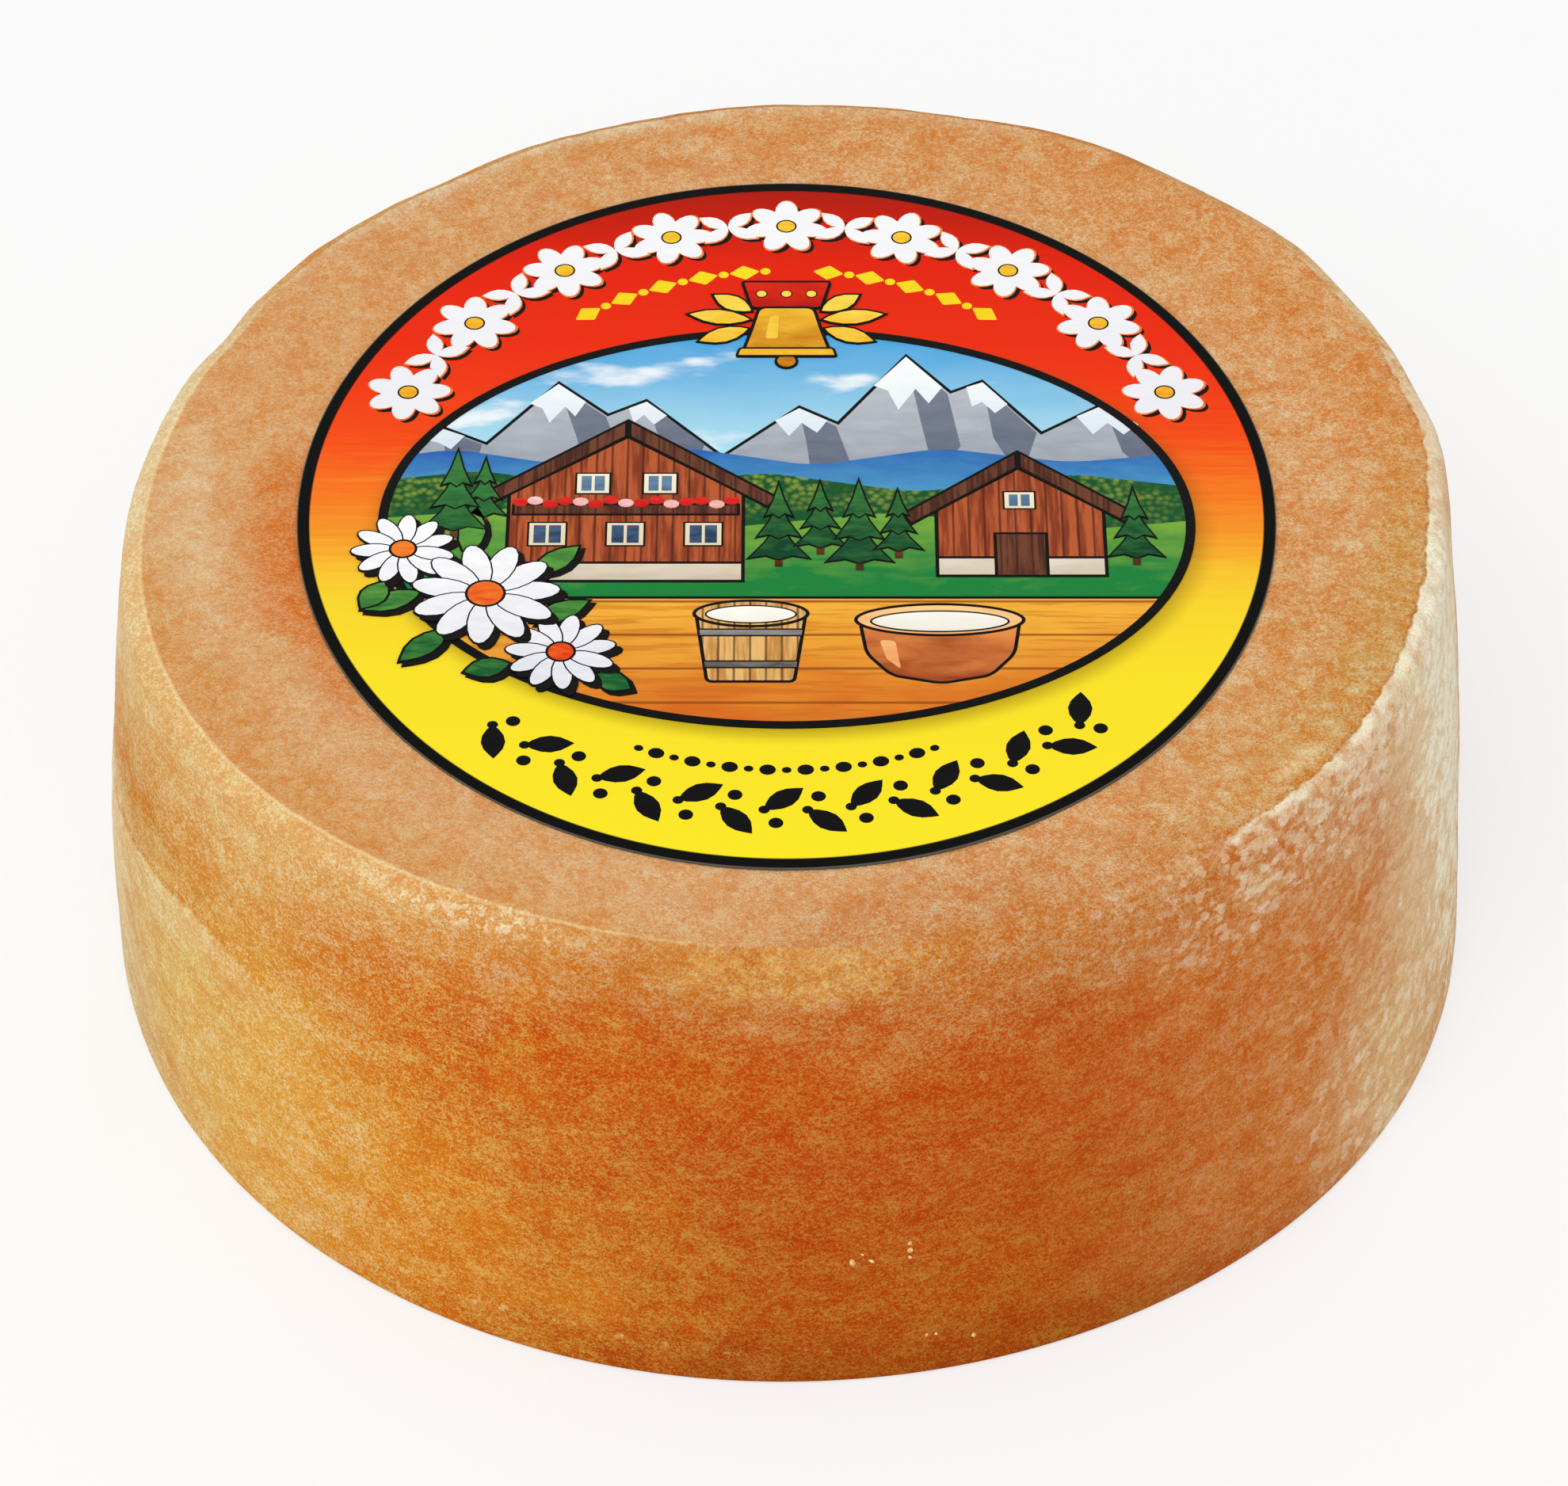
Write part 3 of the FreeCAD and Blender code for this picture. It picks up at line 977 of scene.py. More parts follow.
def label_material():
    """The label's ground: red runs through orange to yellow, within a black ring."""
    material, tree, shader = new_ink("label_ground")
    point = use_group(tree, "place")["Point"]
    across = split(point)[0] - LABEL_X
    up = up_the_label(point)
    along = up / LABEL_HALF_DEPTH
    wisps = cloud(point, 0.55, 4.0, (22, 1, 1), 4.0, 0.7) - 0.5
    reach = (1.0 - abs(along - 0.08)) ** 4.0 * 0.30 + 0.05
    colour = ramp((along + wisps * reach + 1.0) * 0.5, GROUND)
    colour = mix(picture_shadow(across, up), colour, paint(120, 84, 10))
    out = root_of((across / LABEL_HALF_WIDTH) ** 2.0 + along**2.0)
    colour = mix(fade(out, *RING_IN), colour, paint(6, 6, 4))
    colour = mix(fade(out, *RING_OUT), colour, paint(96, 92, 84))
    connect(tree, shader.inputs["Base Color"], colour)
    bump(tree, shader, cloud(point, 0.5, 2.0) * 0.01)
    return material


def picture_shadow(across, up):
    """A soft shadow on the ground, below and beside the picture."""
    aside = (across - (PICTURE_X + 0.3)) / PICTURE_HALF_WIDTH
    rise = (up - (PICTURE_Y - 0.7)) / PICTURE_HALF_HEIGHT
    return fade(root_of(aside**2.0 + rise**2.0), 1.055, 0.97, 0.0, 0.5)


def new_ink(name):
    """An ink with its tree and its shader: somewhat glossy, like the paper."""
    return new_material(name, 0.42, 0.04)


def paint_up(tree, low_colour, high_colour, *numbers):
    """A printed colour that runs up into another."""
    colours = (paint(*low_colour), paint(*high_colour))
    return use_group(tree, "painted", dict(zip(PAINT_SOCKETS, (*colours, *numbers))))["Color"]


def painted(name, low_colour, high_colour, low, high, stroke, size):
    """An ink that runs from one colour up into another."""
    material, tree, shader = new_ink(name)
    colour = paint_up(tree, low_colour, high_colour, low, high, stroke, size)
    connect(tree, shader.inputs["Base Color"], colour)
    return material


def outline_ink():
    return painted("black_ink", (8, 9, 8), (20, 20, 18), -40, 40, 0.3, 1.5)


class Print:
    """A printed piece in the making: its mesh, and how many shapes it holds."""

    def __init__(self):
        self.mesh = bmesh.new()
        self.shapes = 0


def round_corners(bm, corners, radius, segments):
    bmesh.ops.bevel(
        bm,
        geom=corners,
        offset=radius,
        affect="VERTICES",
        segments=segments,
        profile=0.5,
        material=-1,
    )


def fill_oval(half_width, half_height, segments):
    """A flat oval of its own."""
    shape = bmesh.new()
    bmesh.ops.create_circle(shape, cap_ends=True, segments=segments, radius=1)
    bmesh.ops.scale(shape, vec=(half_width, half_height, 1), verts=shape.verts)
    return shape


def thicken(shape, rise):
    """Makes a slab of a flat shape."""
    raised = bmesh.ops.extrude_face_region(shape, geom=shape.faces[:], use_keep_orig=True)
    lifted = [part for part in raised["geom"] if isinstance(part, bmesh.types.BMVert)]
    bmesh.ops.translate(shape, vec=(0, 0, rise), verts=lifted)
    bmesh.ops.recalc_face_normals(shape, faces=shape.faces)


def edge_of(shape, width):
    """Parts a flat shape from a border along its edge. Returns the border's faces."""
    border = {"thickness": width, "use_boundary": True, "use_even_offset": True}
    return bmesh.ops.inset_region(shape, faces=shape.faces[:], **border)["faces"]


def ring_of(shape, width):
    """Takes away all of a flat shape but its border."""
    middle = shape.faces[:]
    edge_of(shape, width)
    bmesh.ops.delete(shape, geom=middle, context="FACES")


def print_shape(sheet, shape, layer, ink=0, line=0.0, line_ink=1, move=None, trimmed=False):
    """Adds a flat shape to a print as a thin raised slab, with an ink line inside its border."""
    shape.normal_update()
    for face in shape.faces:
        face.material_index = ink
    if line:
        for face in edge_of(shape, line):
            face.material_index = line_ink
    if move is not None:
        bmesh.ops.transform(shape, matrix=move, verts=shape.verts)
    bmesh.ops.translate(shape, vec=(LABEL_X, LABEL_Y, PAPER_TOP - INK_SINK), verts=shape.verts)
    thicken(shape, INK_SINK + INK_PASS * layer + INK_HAIR * (sheet.shapes % INK_TURNS))
    if trimmed:
        shape = trim_to_picture(shape)
    mesh = bpy.data.meshes.new("shape")
    shape.to_mesh(mesh)
    shape.free()
    sheet.mesh.from_mesh(mesh)
    sheet.shapes += 1
    bpy.data.meshes.remove(mesh)


def polygon(sheet, corners, layer, ink=0, line=0.0, line_ink=1, rounding=0.0, segments=4, **how):
    """A printed shape with straight or rounded corners."""
    shape = bmesh.new()
    shape.faces.new([shape.verts.new((x, y, 0)) for x, y in corners])
    if rounding:
        round_corners(shape, shape.verts[:], rounding, segments)
    print_shape(sheet, shape, layer, ink, line, line_ink, **how)


def rectangle(left, low, right, high):
    """The corners of an upright rectangle."""
    return (left, low), (left, high), (right, high), (right, low)


def placed(x, y, turn=0.0):
    """A move to a place, after a turn in degrees."""
    return Matrix.Translation((x, y, 0)) @ Matrix.Rotation(math.radians(turn), 4, "Z")


def oval(sheet, x, y, half_width, half_height, layer, ink=0, line=0.0, line_ink=1, **how):
    """A printed oval. It can be turned, have its own number of segments and be moved."""
    shape = fill_oval(half_width, half_height, how.get("segments", 32))
    bmesh.ops.transform(shape, matrix=placed(x, y, how.get("turn", 0.0)), verts=shape.verts)
    print_shape(sheet, shape, layer, ink, line, line_ink, how.get("move"))


PRISM = "picture_prism"


def fill_picture(inset=0.35):
    """A flat oval that fills the picture, but for its line."""
    return fill_oval(PICTURE_HALF_WIDTH - inset, PICTURE_HALF_HEIGHT - inset, 128)


def make_picture_prism():
    """An upright oval prism as wide as the picture, to trim what is printed in it."""
    bm = fill_picture()
    thicken(bm, 4)
    centre = (LABEL_X + PICTURE_X, LABEL_Y + PICTURE_Y, PAPER_TOP - 2)
    bmesh.ops.translate(bm, vec=centre, verts=bm.verts)
    return helper_object(PRISM, bm)


def helper_object(name, bm):
    """An object that helps to make a piece and is taken away again."""
    mesh = bpy.data.meshes.new(name)
    bm.to_mesh(mesh)
    bm.free()
    helper = bpy.data.objects.new(name, mesh)
    bpy.context.scene.collection.objects.link(helper)
    return helper


def remove_helper(helper):
    mesh = helper.data
    bpy.data.objects.remove(helper)
    bpy.data.meshes.remove(mesh)


def trim_to_picture(shape):
    """Keeps only what of a printed shape lies within the picture's oval."""
    helper = helper_object("untrimmed", shape)
    trim = helper.modifiers.new("trim", "BOOLEAN")
    trim.operation = "INTERSECT"
    trim.solver = "EXACT"
    trim.object = bpy.data.objects[PRISM]
    evaluated = helper.evaluated_get(bpy.context.evaluated_depsgraph_get())
    trimmed = bpy.data.meshes.new_from_object(evaluated)
    remove_helper(helper)
    shape = bmesh.new()
    shape.from_mesh(trimmed)
    bpy.data.meshes.remove(trimmed)
    return shape


def finish_print(name, sheet, materials):
    finish_piece(name, sheet.mesh, materials)


# ---------------------------------------------------------------- the picture


def print_frame():
    """The black line round the picture, over everything in it."""
    sheet = Print()
    ring = fill_picture(0.0)
    ring_of(ring, 0.75)
    print_shape(sheet, ring, 9, move=placed(PICTURE_X, PICTURE_Y))
    finish_print("print_picture_line", sheet, [outline_ink()])


def sky_ink():
    """Blue sky, paler towards the mountains, with thin white clouds."""
    material, tree, shader = new_ink("sky_ink")
    colour = paint_up(tree, (178, 226, 240), (56, 158, 220), 6.0, 21.0, 0.12, 5.0)
    point = use_group(tree, "place")["Point"]
    banks = cloud(point, 5.0, 4.0, (2.4, 1, 1), 2.0)
    colour = mix(fade(banks, 0.54, 0.68, 0.0, 0.9), colour, paint(246, 250, 250))
    connect(tree, shader.inputs["Base Color"], colour)
    return material


def print_sky():
    sheet = Print()
    print_shape(sheet, fill_picture(), 1, move=placed(PICTURE_X, PICTURE_Y))
    finish_print("print_sky", sheet, [sky_ink()])


def print_mountains():
    """A grey range with its shaded flanks and its snow."""
    sheet = Print()
    ridge = (
        (-34, 0), (-34, 3), (-27, 9.5), (-23.5, 7.5), (-18, 15), (-14, 11), (-11, 12.8),
        (-5, 6), (1, 12), (4, 10), (9.5, 18.4), (13, 13.8), (15.5, 15.2), (20, 8.8),
        (25, 12.4), (34, 4), (34, 0),
    )
    polygon(sheet, ridge, 2, 0, 0.3, 3, trimmed=True)
    for flank in (
        ((-18, 14.4), (-14.2, 10.6), (-12.6, 5), (-15.4, 2), (-16.4, 8)),
        ((-11, 12.2), (-6.4, 7.2), (-7.4, 3), (-9.6, 6.6)),
        ((1, 11.4), (3.9, 9.4), (5.2, 4), (2.0, 2.6), (1.6, 7.2)),
        ((9.5, 17.6), (12.7, 13.4), (13.6, 7), (11.6, 3), (10.6, 9.6)),
        ((15.5, 14.6), (19.6, 8.6), (18.2, 3), (16.2, 8)),
        ((25, 11.8), (31, 6.2), (29, 2), (26.2, 6.4)),
        ((-27, 9.0), (-23.8, 7.2), (-24.6, 2), (-26.4, 4.6)),
    ):
        polygon(sheet, flank, 3, 1, trimmed=True)
    for cap in (
        (
            (-20.2, 12.2), (-18, 14.6), (-15.8, 12.4), (-16.6, 10.6), (-17.4, 11.8),
            (-18.6, 9.8), (-19.2, 11.6),
        ),
        ((-12.4, 11.6), (-11, 12.4), (-9.4, 10.7), (-10.4, 9.6), (-11.2, 10.8), (-12.0, 9.8)),
        ((-0.9, 10.1), (1, 11.6), (3.2, 10.1), (2.4, 8.6), (1.2, 9.8), (0.2, 8.2)),
        (
            (6.9, 14.4), (9.5, 18.0), (12.3, 14.2), (11.2, 12.2), (10.2, 14.0),
            (8.8, 11.4), (8.0, 13.8),
        ),
        ((14.2, 14.2), (15.5, 14.8), (17.4, 12.1), (16.4, 11.0), (15.4, 12.4), (14.6, 11.8)),
        ((22.8, 10.6), (25, 12.0), (27.6, 9.6), (26.4, 8.4), (25.2, 9.8), (24.0, 8.4)),
        ((-28.4, 7.8), (-27, 9.1), (-25.2, 8.2), (-26.2, 6.6), (-27.2, 7.4)),
    ):
        polygon(sheet, cap, 4, 2)
    rock = painted("pale_rock_ink", (150, 158, 170), (196, 200, 206), 2, 17, 0.3, 1.6)
    shade = painted("shaded_rock_ink", (96, 104, 122), (128, 134, 148), 2, 17, 0.3, 1.4)
    snow = painted("snow_ink", (214, 228, 240), (250, 252, 252), 6, 16, 0.2, 1.0)
    finish_print("print_mountains", sheet, [rock, shade, snow, outline_ink()])


def print_far_hills():
    """Blue hills at the foot of the mountains, and the wooded ones before them."""
    sheet = Print()
    blue = (
        (-34, -2), (-34, 5.0), (-26, 6.6), (-18, 4.8), (-8, 6.8), (2, 4.6), (12, 6.7),
        (22, 5.0), (34, 6.4), (34, -2),
    )
    polygon(sheet, blue, 5, rounding=1.6, segments=5, trimmed=True)
    wooded = (
        (-34, -6), (-34, 2.4), (-24, 4.0), (-12, 1.6), (-2, 3.8), (10, 1.4), (22, 3.6),
        (34, 1.6), (34, -6),
    )
    polygon(sheet, wooded, 6, 1, rounding=1.6, segments=5, trimmed=True)
    blue_ink = painted("blue_hill_ink", (76, 150, 196), (44, 96, 176), 2, 7, 0.3, 1.4)
    finish_print("print_far_hills", sheet, [blue_ink, wooded_ink()])


def wooded_ink():
    """Tree tops: rounded light crowns over dark gaps."""
    material, tree, shader = new_ink("wooded_ink")
    point = use_group(tree, "place")["Point"]
    crowns = {"Vector": point, "Scale": 1.7, "Randomness": 1.0}
    light = fade(add_node(tree, "TexVoronoi", crowns)[0], 0.75, 0.10)
    banks = fade(cloud(point, 3.0, 3.0, (1.6, 1, 1), 9.0), 0.36, 0.6)
    rise = fade(up_the_label(point), -4.0, 4.0, 0.3, 1.0)
    colour = mix(light * rise * banks, paint(24, 84, 44), paint(134, 158, 62))
    connect(tree, shader.inputs["Base Color"], colour)
    return material


def print_meadow():
    sheet = Print()
    near = (
        (-34, -14), (-34, -2.0), (-20, -0.4), (-6, -3.0), (8, -1.0), (22, -3.2), (34, -1.6),
        (34, -14),
    )
    polygon(sheet, near, 7, rounding=1.8, segments=5, trimmed=True)
    green = painted("meadow_ink", (30, 128, 60), (120, 170, 62), -9, -1.5, 0.45, 1.6)
    finish_print("print_meadow", sheet, [green])


def board_ink():
    """Golden boards: long grain and a few dark joints."""
    material, tree, shader = new_ink("golden_board_ink")
    point = use_group(tree, "place")["Point"]
    colour = paint_up(tree, (214, 104, 30), (244, 176, 58), -25.0, -13.0, 0.35, 4.0)
    grain = cloud(point, 0.5, 3.0, (14, 1, 1), 6.0)
    colour = mix(fade(grain, 0.52, 0.36, 0.0, 0.5), colour, paint(196, 104, 28))
    joint = abs(calc(tree, "WRAP", up_the_label(point), 1.9, -1.9))
    colour = mix(fade(joint, 0.2, 0.06, 0.0, 0.8), colour, paint(136, 66, 20))
    connect(tree, shader.inputs["Base Color"], colour)
    return material


def print_board():
    sheet = Print()
    polygon(sheet, rectangle(-34, -28, 34, -10.8), 8, 0, 0.3, 1, trimmed=True)
    finish_print("print_board", sheet, [board_ink(), outline_ink()])


def timber_ink(name, light, dark):
    """Upright planks."""
    material, tree, shader = new_ink(name)
    point = use_group(tree, "place")["Point"]
    grain = cloud(point, 0.45, 3.0, (1, 12, 1), 3.0)
    colour = mix(fade(grain, 0.36, 0.62), paint(*dark), paint(*light))
    joint = abs(calc(tree, "WRAP", split(point)[0], 0.6, -0.6))
    colour = mix(fade(joint, 0.14, 0.04, 0.0, 0.75), colour, paint(70, 32, 18))
    connect(tree, shader.inputs["Base Color"], colour)
    return material


def add_house(sheet, middle, foot, eaves, peak, half, layer):
    """A gabled house front: walls of wood on a plastered base, under a wide roof."""
    walls = (
        (middle - half, foot), (middle - half, eaves), (middle, peak),
        (middle + half, eaves), (middle + half, foot),
    )
    polygon(sheet, walls, layer, 0, 0.28, 5)
    base = rectangle(middle - half, foot, middle + half, foot + 2.4)
    polygon(sheet, base, layer + 1, 1, 0.28, 5)
    for side in (-1, 1):
        roof = (
            (middle, peak + 2.0),
            (middle, peak - 0.2),
            (middle + side * (half + 1.8), eaves - 1.8),
            (middle + side * (half + 2.6), eaves - 0.4),
        )
        polygon(sheet, roof, layer + 2, 2, 0.25, 5)


def add_window(sheet, x, y, half_width, half_height, layer):
    """A window: pale frame, dark panes."""
    border = rectangle(x - half_width, y - half_height, x + half_width, y + half_height)
    polygon(sheet, border, layer, 3, 0.16, 5)
    pane = (half_width - 0.62) / 2
    tall = half_height - 0.42
    for side in (-1, 1):
        middle = x + side * (pane + 0.12)
        corners = rectangle(middle - pane, y - tall, middle + pane, y + tall)
        polygon(sheet, corners, layer + 1, 4)


def print_houses():
    """The chalet on the left and the barn on the right."""
    sheet = Print()
    add_house(sheet, -12.4, -9.2, 1.2, 8.2, 9.2, 9)
    for x in (-18.4, -12.4, -6.4):
        add_window(sheet, x, -3.6, 1.55, 1.45, 10)
    for x in (-15.0, -9.8):
        add_window(sheet, x, 2.4, 1.4, 1.3, 10)
    polygon(sheet, rectangle(-21.2, -1.4, -3.6, 0.0), 11, 2, 0.22, 5)
    add_house(sheet, 18.0, -8.6, -0.8, 4.4, 6.6, 9)
    polygon(sheet, rectangle(15.9, -8.6, 20.1, -3.4), 11, 2, 0.25, 5)
    add_window(sheet, 18.0, 0.4, 1.3, 1.1, 10)
    walls = timber_ink("brown_wall_ink", (186, 92, 52), (134, 58, 32))
    plaster = painted("plaster_ink", (206, 190, 166), (240, 230, 212), -9, -5, 0.3, 1.2)
    roof = timber_ink("roof_ink", (112, 66, 46), (72, 40, 30))
    frames = painted("window_frame_ink", (232, 214, 178), (250, 240, 214), -5, 4, 0.1, 1.0)
    panes = painted("window_pane_ink", (44, 62, 92), (104, 140, 170), -5, 4, 0.4, 1.0)
    finish_print("print_houses", sheet, [walls, plaster, roof, frames, panes, outline_ink()])


def print_balcony_flowers():
    """Red and white flowers along the balcony."""
    sheet = Print()
    for step in range(15):
        x = -20.6 + step * 1.17
        y = 0.15 + 0.25 * math.sin(step * 2.3)
        oval(sheet, x, y, 0.62, 0.5, 12, step % 3 == 1, segments=10)
    red = painted("red_flower_ink", (190, 16, 20), (236, 52, 40), -1, 1.5, 0.5, 0.6)
    pale = painted("pink_flower_ink", (236, 150, 150), (252, 222, 214), -1, 1.5, 0.4, 0.6)
    finish_print("print_balcony_flowers", sheet, [red, pale])


def add_fir(sheet, x, foot, height, layer):
    """A fir: a stem and three tiers."""
    wide = height * 0.27
    polygon(sheet, rectangle(x - 0.3, foot - 0.8, x + 0.3, foot + 1), layer, 1)
    for tier in range(3):
        low = foot + height * 0.26 * tier
        waist = low + height * 0.22
        half = wide * (1 - 0.26 * tier)
        corners = (
            (x - half, low), (x - half * 0.45, waist), (x, low + height * 0.48),
            (x + half * 0.45, waist), (x + half, low), (x + half * 0.4, low + 0.35),
            (x, low - 0.15), (x - half * 0.4, low + 0.35),
        )
        polygon(sheet, corners, layer + tier, 0, 0.14, 2)


def print_firs():
    sheet = Print()
    trees = (
        (-0.6, -6.6, 9.4), (2.6, -5.2, 8.2), (5.6, -7.0, 10.2), (8.6, -5.6, 7.6),
        (26.8, -6.4, 8.6), (-25.6, -3.2, 10.0), (-23.4, -1.6, 7.4),
    )
    for x, foot, height in trees:
        add_fir(sheet, x, foot, height, 13)
    needles = painted("fir_ink", (14, 66, 40), (58, 124, 58), -7, 4, 0.5, 0.8)
    stems = painted("stem_ink", (70, 42, 24), (104, 66, 38), -8, -3, 0.3, 0.5)
    finish_print("print_firs", sheet, [needles, stems, outline_ink()])


def print_kettle():
    """A copper cheese kettle and a wooden pail of milk on the boards."""
    sheet = Print()
    body = (
        (5.4, -13.6), (5.9, -17.4), (7.8, -19.9), (11.6, -20.8), (15.4, -19.9),
        (17.3, -17.4), (17.8, -13.6),
    )
    polygon(sheet, body, 9, 0, 0.28, 5, rounding=0.7)
    oval(sheet, 11.6, -13.5, 6.5, 1.9, 10, 1, 0.28, 5, segments=48)
    oval(sheet, 11.6, -13.7, 5.3, 1.25, 11, 2, 0.16, 5, segments=48)
    gleam = ((7.0, -15.8), (7.5, -17.9), (8.6, -19.1), (8.4, -17.6), (8.2, -15.9))
    polygon(sheet, gleam, 10, 1, rounding=0.3)
    pail = ((-7.0, -12.8), (-6.1, -20.6), (0.7, -20.6), (1.6, -12.8))
    polygon(sheet, pail, 9, 3, 0.28, 5, rounding=0.5)
    for low, half in ((-15.4, 4.05), (-19.0, 3.65)):
        hoop = (
            (-2.7 - half, low + 0.9), (-2.7 - half + 0.06, low), (-2.7 + half - 0.06, low),
            (-2.7 + half, low + 0.9),
        )
        polygon(sheet, hoop, 10, 4, 0.16, 5)
    oval(sheet, -2.7, -12.8, 4.45, 1.6, 11, 3, 0.28, 5, segments=40)
    oval(sheet, -2.7, -12.9, 3.5, 1.05, 12, 2, 0.14, 5, segments=40)
    copper = painted("copper_ink", (150, 62, 26), (232, 138, 70), -21, -13, 0.6, 2.2)
    bright = painted("bright_copper_ink", (236, 150, 84), (254, 206, 140), -20, -12, 0.4, 1.2)
    milk = painted("milk_ink", (236, 230, 212), (254, 252, 244), -15, -12, 0.3, 1.6)
    wood = timber_ink("pail_ink", (232, 184, 112), (196, 138, 70))
    hoops = painted("hoop_ink", (86, 80, 78), (150, 146, 142), -20, -13, 0.5, 1.0)
    finish_print("print_kettle_and_pail", sheet, [copper, bright, milk, wood, hoops, outline_ink()])


# ---------------------------------------------------------------- flowers and garlands


def add_petals(sheet, x, y, radius, count, width, layer, ink, turn=0.0, line=0.0, line_ink=1):
    """Oval petals round a middle."""
    for step in range(count):
        how = {"segments": 16, "move": placed(x, y, turn + step * 360 / count)}
        size = (radius * 0.43, radius * width)
        oval(sheet, radius * 0.57, 0, *size, layer, ink, line, line_ink, **how)


# One side of a leaf, as shares of its length and its width.
LEAF_OUTLINE = (
    (0.0, 0.0), (0.14, 0.24), (0.32, 0.42), (0.52, 0.48), (0.72, 0.38), (0.88, 0.18), (1.0, 0.0),
)


def add_leaf(sheet, x, y, length, width, turn, layer, ink=0, line=0.0, line_ink=1):
    """A pointed leaf that starts at x, y and grows along its turn."""
    upper = [(length * along, width * aside) for along, aside in LEAF_OUTLINE]
    lower = [(along, -aside) for along, aside in reversed(upper[1:-1])]
    polygon(sheet, upper + lower, layer, ink, line, line_ink, move=placed(x, y, turn))


def on_arc(part, degrees):
    """A place on an oval round the label's middle, and the way the oval runs there."""
    angle = math.radians(degrees)
    x = LABEL_HALF_WIDTH * part * math.cos(angle)
    y = LABEL_HALF_DEPTH * part * math.sin(angle)
    along = math.atan2(LABEL_HALF_DEPTH * math.cos(angle), -LABEL_HALF_WIDTH * math.sin(angle))
    return x, y, math.degrees(along)


# The garland of white flowers: how many, where the first one is and how far on the next, in
# degrees, and which part of the way out to the label's edge they lie.
FLOWERS = 9
FLOWER_START = 157
FLOWER_STEP = 16.75
FLOWER_PART = 0.858


def add_white_garland(sheet, shift_x, shift_y, layer, ink, swell=0.0):
    """White alpine flowers and leaves in turn along the top of the label."""
    for step in range(FLOWERS):
        x, y, along = on_arc(FLOWER_PART, FLOWER_START - step * FLOWER_STEP)
        add_petals(sheet, x + shift_x, y + shift_y, 3.35 + swell, 7, 0.27, layer, ink, along + 13)
        if step == FLOWERS - 1:
            break
        x, y, along = on_arc(0.862, FLOWER_START - (step + 0.5) * FLOWER_STEP)
        place = (x + shift_x, y + shift_y, 2.7 + swell, 1.35 + swell)
        for turn in (90 - 52, -90 - 52, 90 + 52, -90 + 52):
            add_leaf(sheet, *place, along + turn, layer, ink)


def print_white_garland():
    sheet = Print()
    add_white_garland(sheet, 0, 0, 3, 0)
    for step in range(FLOWERS):
        x, y, _ = on_arc(FLOWER_PART, FLOWER_START - step * FLOWER_STEP)
        oval(sheet, x, y, 0.85, 0.85, 4, 1, 0.14, 2, segments=16)
    white = painted("white_ink", (232, 232, 238), (250, 250, 252), 0, 40, 0.2, 1.2)
    heart = painted("flower_heart_ink", (236, 150, 30), (252, 206, 52), 0, 40, 0.5, 0.5)
    finish_print("print_white_garland", sheet, [white, heart, outline_ink()])


def print_garland_shadow():
    """The garland's hard black shadow and the thin glow between the two."""
    sheet = Print()
    add_white_garland(sheet, 0.38, -0.42, 1, 0)
    add_white_garland(sheet, 0.05, -0.05, 2, 1, 0.16)
    glow = painted("glow_ink", (236, 108, 44), (246, 140, 70), 0, 40, 0.2, 1.0)
    finish_print("print_garland_shadow", sheet, [outline_ink(), glow])


def print_yellow_arc():
    """Small yellow lozenges and beads under the garland, on either side of the bell."""
    sheet = Print()
    lozenges = 11
    corners = ((-1.25, 0), (0, 0.92), (1.25, 0), (0, -0.92))
    for step in range(lozenges):
        x, y, along = on_arc(0.715, 126 - step * 7.2)
        if abs(x) < 2.5:
            continue
        how = {"rounding": 0.16, "segments": 3, "move": placed(x, y, along)}
        polygon(sheet, corners, 1, **how)
        if step < lozenges - 1:
            x, y, _ = on_arc(0.715, 126 - (step + 0.5) * 7.2)
            oval(sheet, x, y, 0.42, 0.42, 1, 0, segments=12)
    yellow = painted("yellow_ink", (246, 206, 24), (252, 226, 36), 20, 32, 0.3, 0.8)
    finish_print("print_yellow_arc", sheet, [yellow])


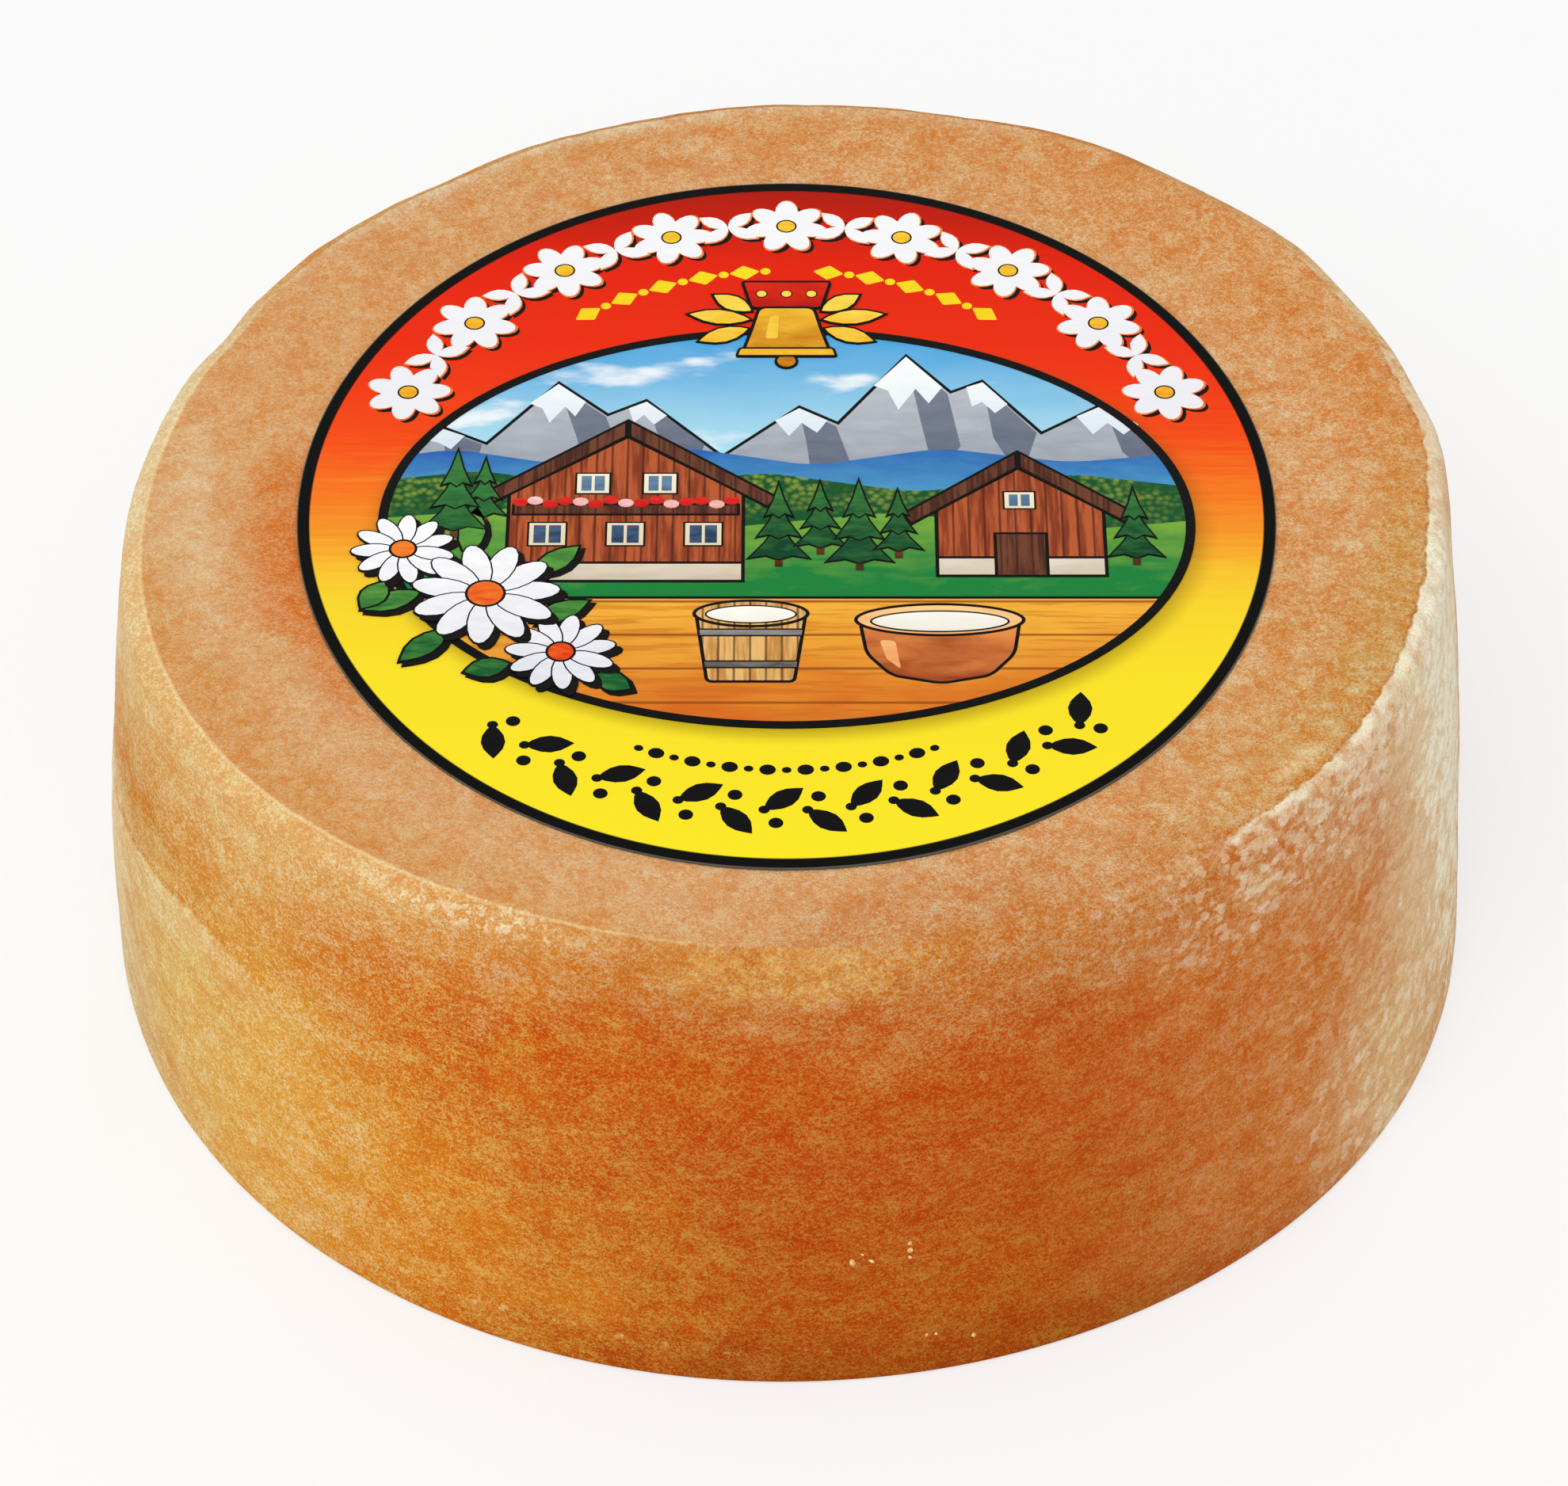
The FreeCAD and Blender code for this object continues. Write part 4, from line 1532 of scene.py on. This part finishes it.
def print_bell():
    """A golden cow bell on its red strap, between golden leaves."""
    sheet = Print()
    leaves = ((2.6, 22.6, 8, 5.6), (2.8, 21.6, -22, 4.8), (2.6, 23.6, 34, 4.2))
    for side in (-1, 1):
        for x, y, turn, length in leaves:
            facing = turn if side > 0 else 180 - turn
            add_leaf(sheet, side * x, y, length, 2.2, facing, 10, 1, 0.2, 3)
    strap = ((-2.9, 24.0), (-3.7, 27.6), (3.7, 27.6), (2.9, 24.0))
    polygon(sheet, strap, 11, 2, 0.25, 3, rounding=0.4)
    for x in (-2.0, 0.0, 2.0):
        oval(sheet, x, 25.9, 0.5, 0.5, 12, 1, 0.1, 3, segments=12)
    oval(sheet, 0, 17.4, 0.95, 0.95, 11, 0, 0.22, 3, segments=20)
    body = ((-3.7, 18.2), (-2.9, 21.4), (-2.3, 24.3), (2.3, 24.3), (2.9, 21.4), (3.7, 18.2))
    polygon(sheet, body, 12, 0, 0.28, 3, rounding=0.7, segments=5)
    rim = ((-4.1, 17.9), (-3.8, 19.1), (3.8, 19.1), (4.1, 17.9))
    polygon(sheet, rim, 13, 1, 0.22, 3, rounding=0.3)
    gleam = ((-1.7, 20.2), (-1.3, 23.0), (-0.6, 23.2), (-0.7, 20.2))
    polygon(sheet, gleam, 13, 1, rounding=0.25)
    brass = painted("brass_ink", (196, 118, 18), (246, 190, 52), 17, 25, 0.5, 1.6)
    gold = painted("gold_ink", (242, 176, 30), (254, 222, 84), 17, 27, 0.5, 1.0)
    red = painted("strap_ink", (166, 18, 12), (226, 40, 20), 23, 28, 0.4, 1.2)
    finish_print("print_bell", sheet, [brass, gold, red, outline_ink()])


def print_daisies():
    """Three large white daisies over the picture's lower left edge."""
    sheet = Print()
    blooms = ((-29.4, -5.4, 4.1, 20), (-17.0, -17.2, 4.3, 12), (-22.9, -10.6, 5.8, 5))
    leaves = (
        (-24.5, -6.4, 6.0, 84), (-27.6, -10.2, 5.4, 205), (-25.4, -14.4, 5.6, 226),
        (-19.6, -14.0, 5.6, 30), (-19.6, -8.6, 5.4, 44), (-30.4, -9.0, 4.0, 240),
        (-20.6, -18.4, 4.0, 196), (-14.6, -19.6, 3.6, 330),
    )
    for x, y, length, turn in leaves:
        add_leaf(sheet, x + 0.35, y - 0.4, length, 2.5, turn, 12, 4)
        add_leaf(sheet, x, y, length, 2.5, turn, 13, 2, 0.2, 3)
    for order, (x, y, radius, turn) in enumerate(blooms):
        layer = 14 + 2 * order
        add_petals(sheet, x + 0.5, y - 0.6, radius, 11, 0.18, layer, 4, turn)
        add_petals(sheet, x, y, radius, 11, 0.2, layer + 1, 0, turn, 0.12, 3)
        oval(sheet, x, y, radius * 0.27, radius * 0.27, layer + 2, 1, 0.2, 3, segments=24)
    white = painted("daisy_ink", (226, 226, 234), (252, 252, 254), -22, -2, 0.4, 1.0)
    heart = painted("daisy_heart_ink", (222, 60, 24), (246, 128, 40), -20, -4, 0.6, 0.6)
    leaf = painted("leaf_ink", (22, 92, 46), (92, 156, 62), -20, -3, 0.6, 1.0)
    black = painted("shadow_ink", (16, 15, 14), (24, 22, 20), -40, 40, 0.2, 1.0)
    finish_print("print_daisies", sheet, [white, heart, leaf, outline_ink(), black])


def print_black_garland():
    """A black vine of leaves and berries along the foot of the label, with a row of dots above."""
    sheet = Print()
    for step in range(16):
        x, y, along = on_arc(0.848, 227 + step * 5.72)
        side = 1 if step % 2 else -1
        add_leaf(sheet, x, y, 3.7, 1.9, along + side * 42, 1)
        oval(sheet, x, y, 0.42, 0.42, 1, 0, segments=12)
        x, y, _ = on_arc(0.848 + side * 0.034, 228.6 + step * 5.72)
        oval(sheet, x, y, 0.55, 0.55, 1, 0, segments=14)
    for step in range(17):
        x, y, along = on_arc(0.742, 247 + step * 2.875)
        half = 0.62 if step % 2 else 0.36
        oval(sheet, x, y, half, half * 0.9, 1, 0, turn=along, segments=14)
    finish_print("print_black_garland", sheet, [outline_ink()])


def make_label():
    """The paper stays as the frame has it and gets its print."""
    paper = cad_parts["paper_label"]
    ground = label_material()
    for material_slot in paper.material_slots:
        material_slot.material = ground
    prism = make_picture_prism()
    print_sky()
    print_mountains()
    print_far_hills()
    print_meadow()
    print_board()
    print_houses()
    print_balcony_flowers()
    print_firs()
    print_kettle()
    print_frame()
    remove_helper(prism)
    print_garland_shadow()
    print_white_garland()
    print_yellow_arc()
    print_bell()
    print_daisies()
    print_black_garland()


def main():
    scene = bpy.context.scene
    scene.view_settings.view_transform = "Standard"
    make_camera()
    make_lamp("key_lamp", (-0.22, -0.55, 0.95), 0.8, 5.2)
    make_world()
    make_floor()
    build_groups()
    make_wheel()
    make_label()


main()
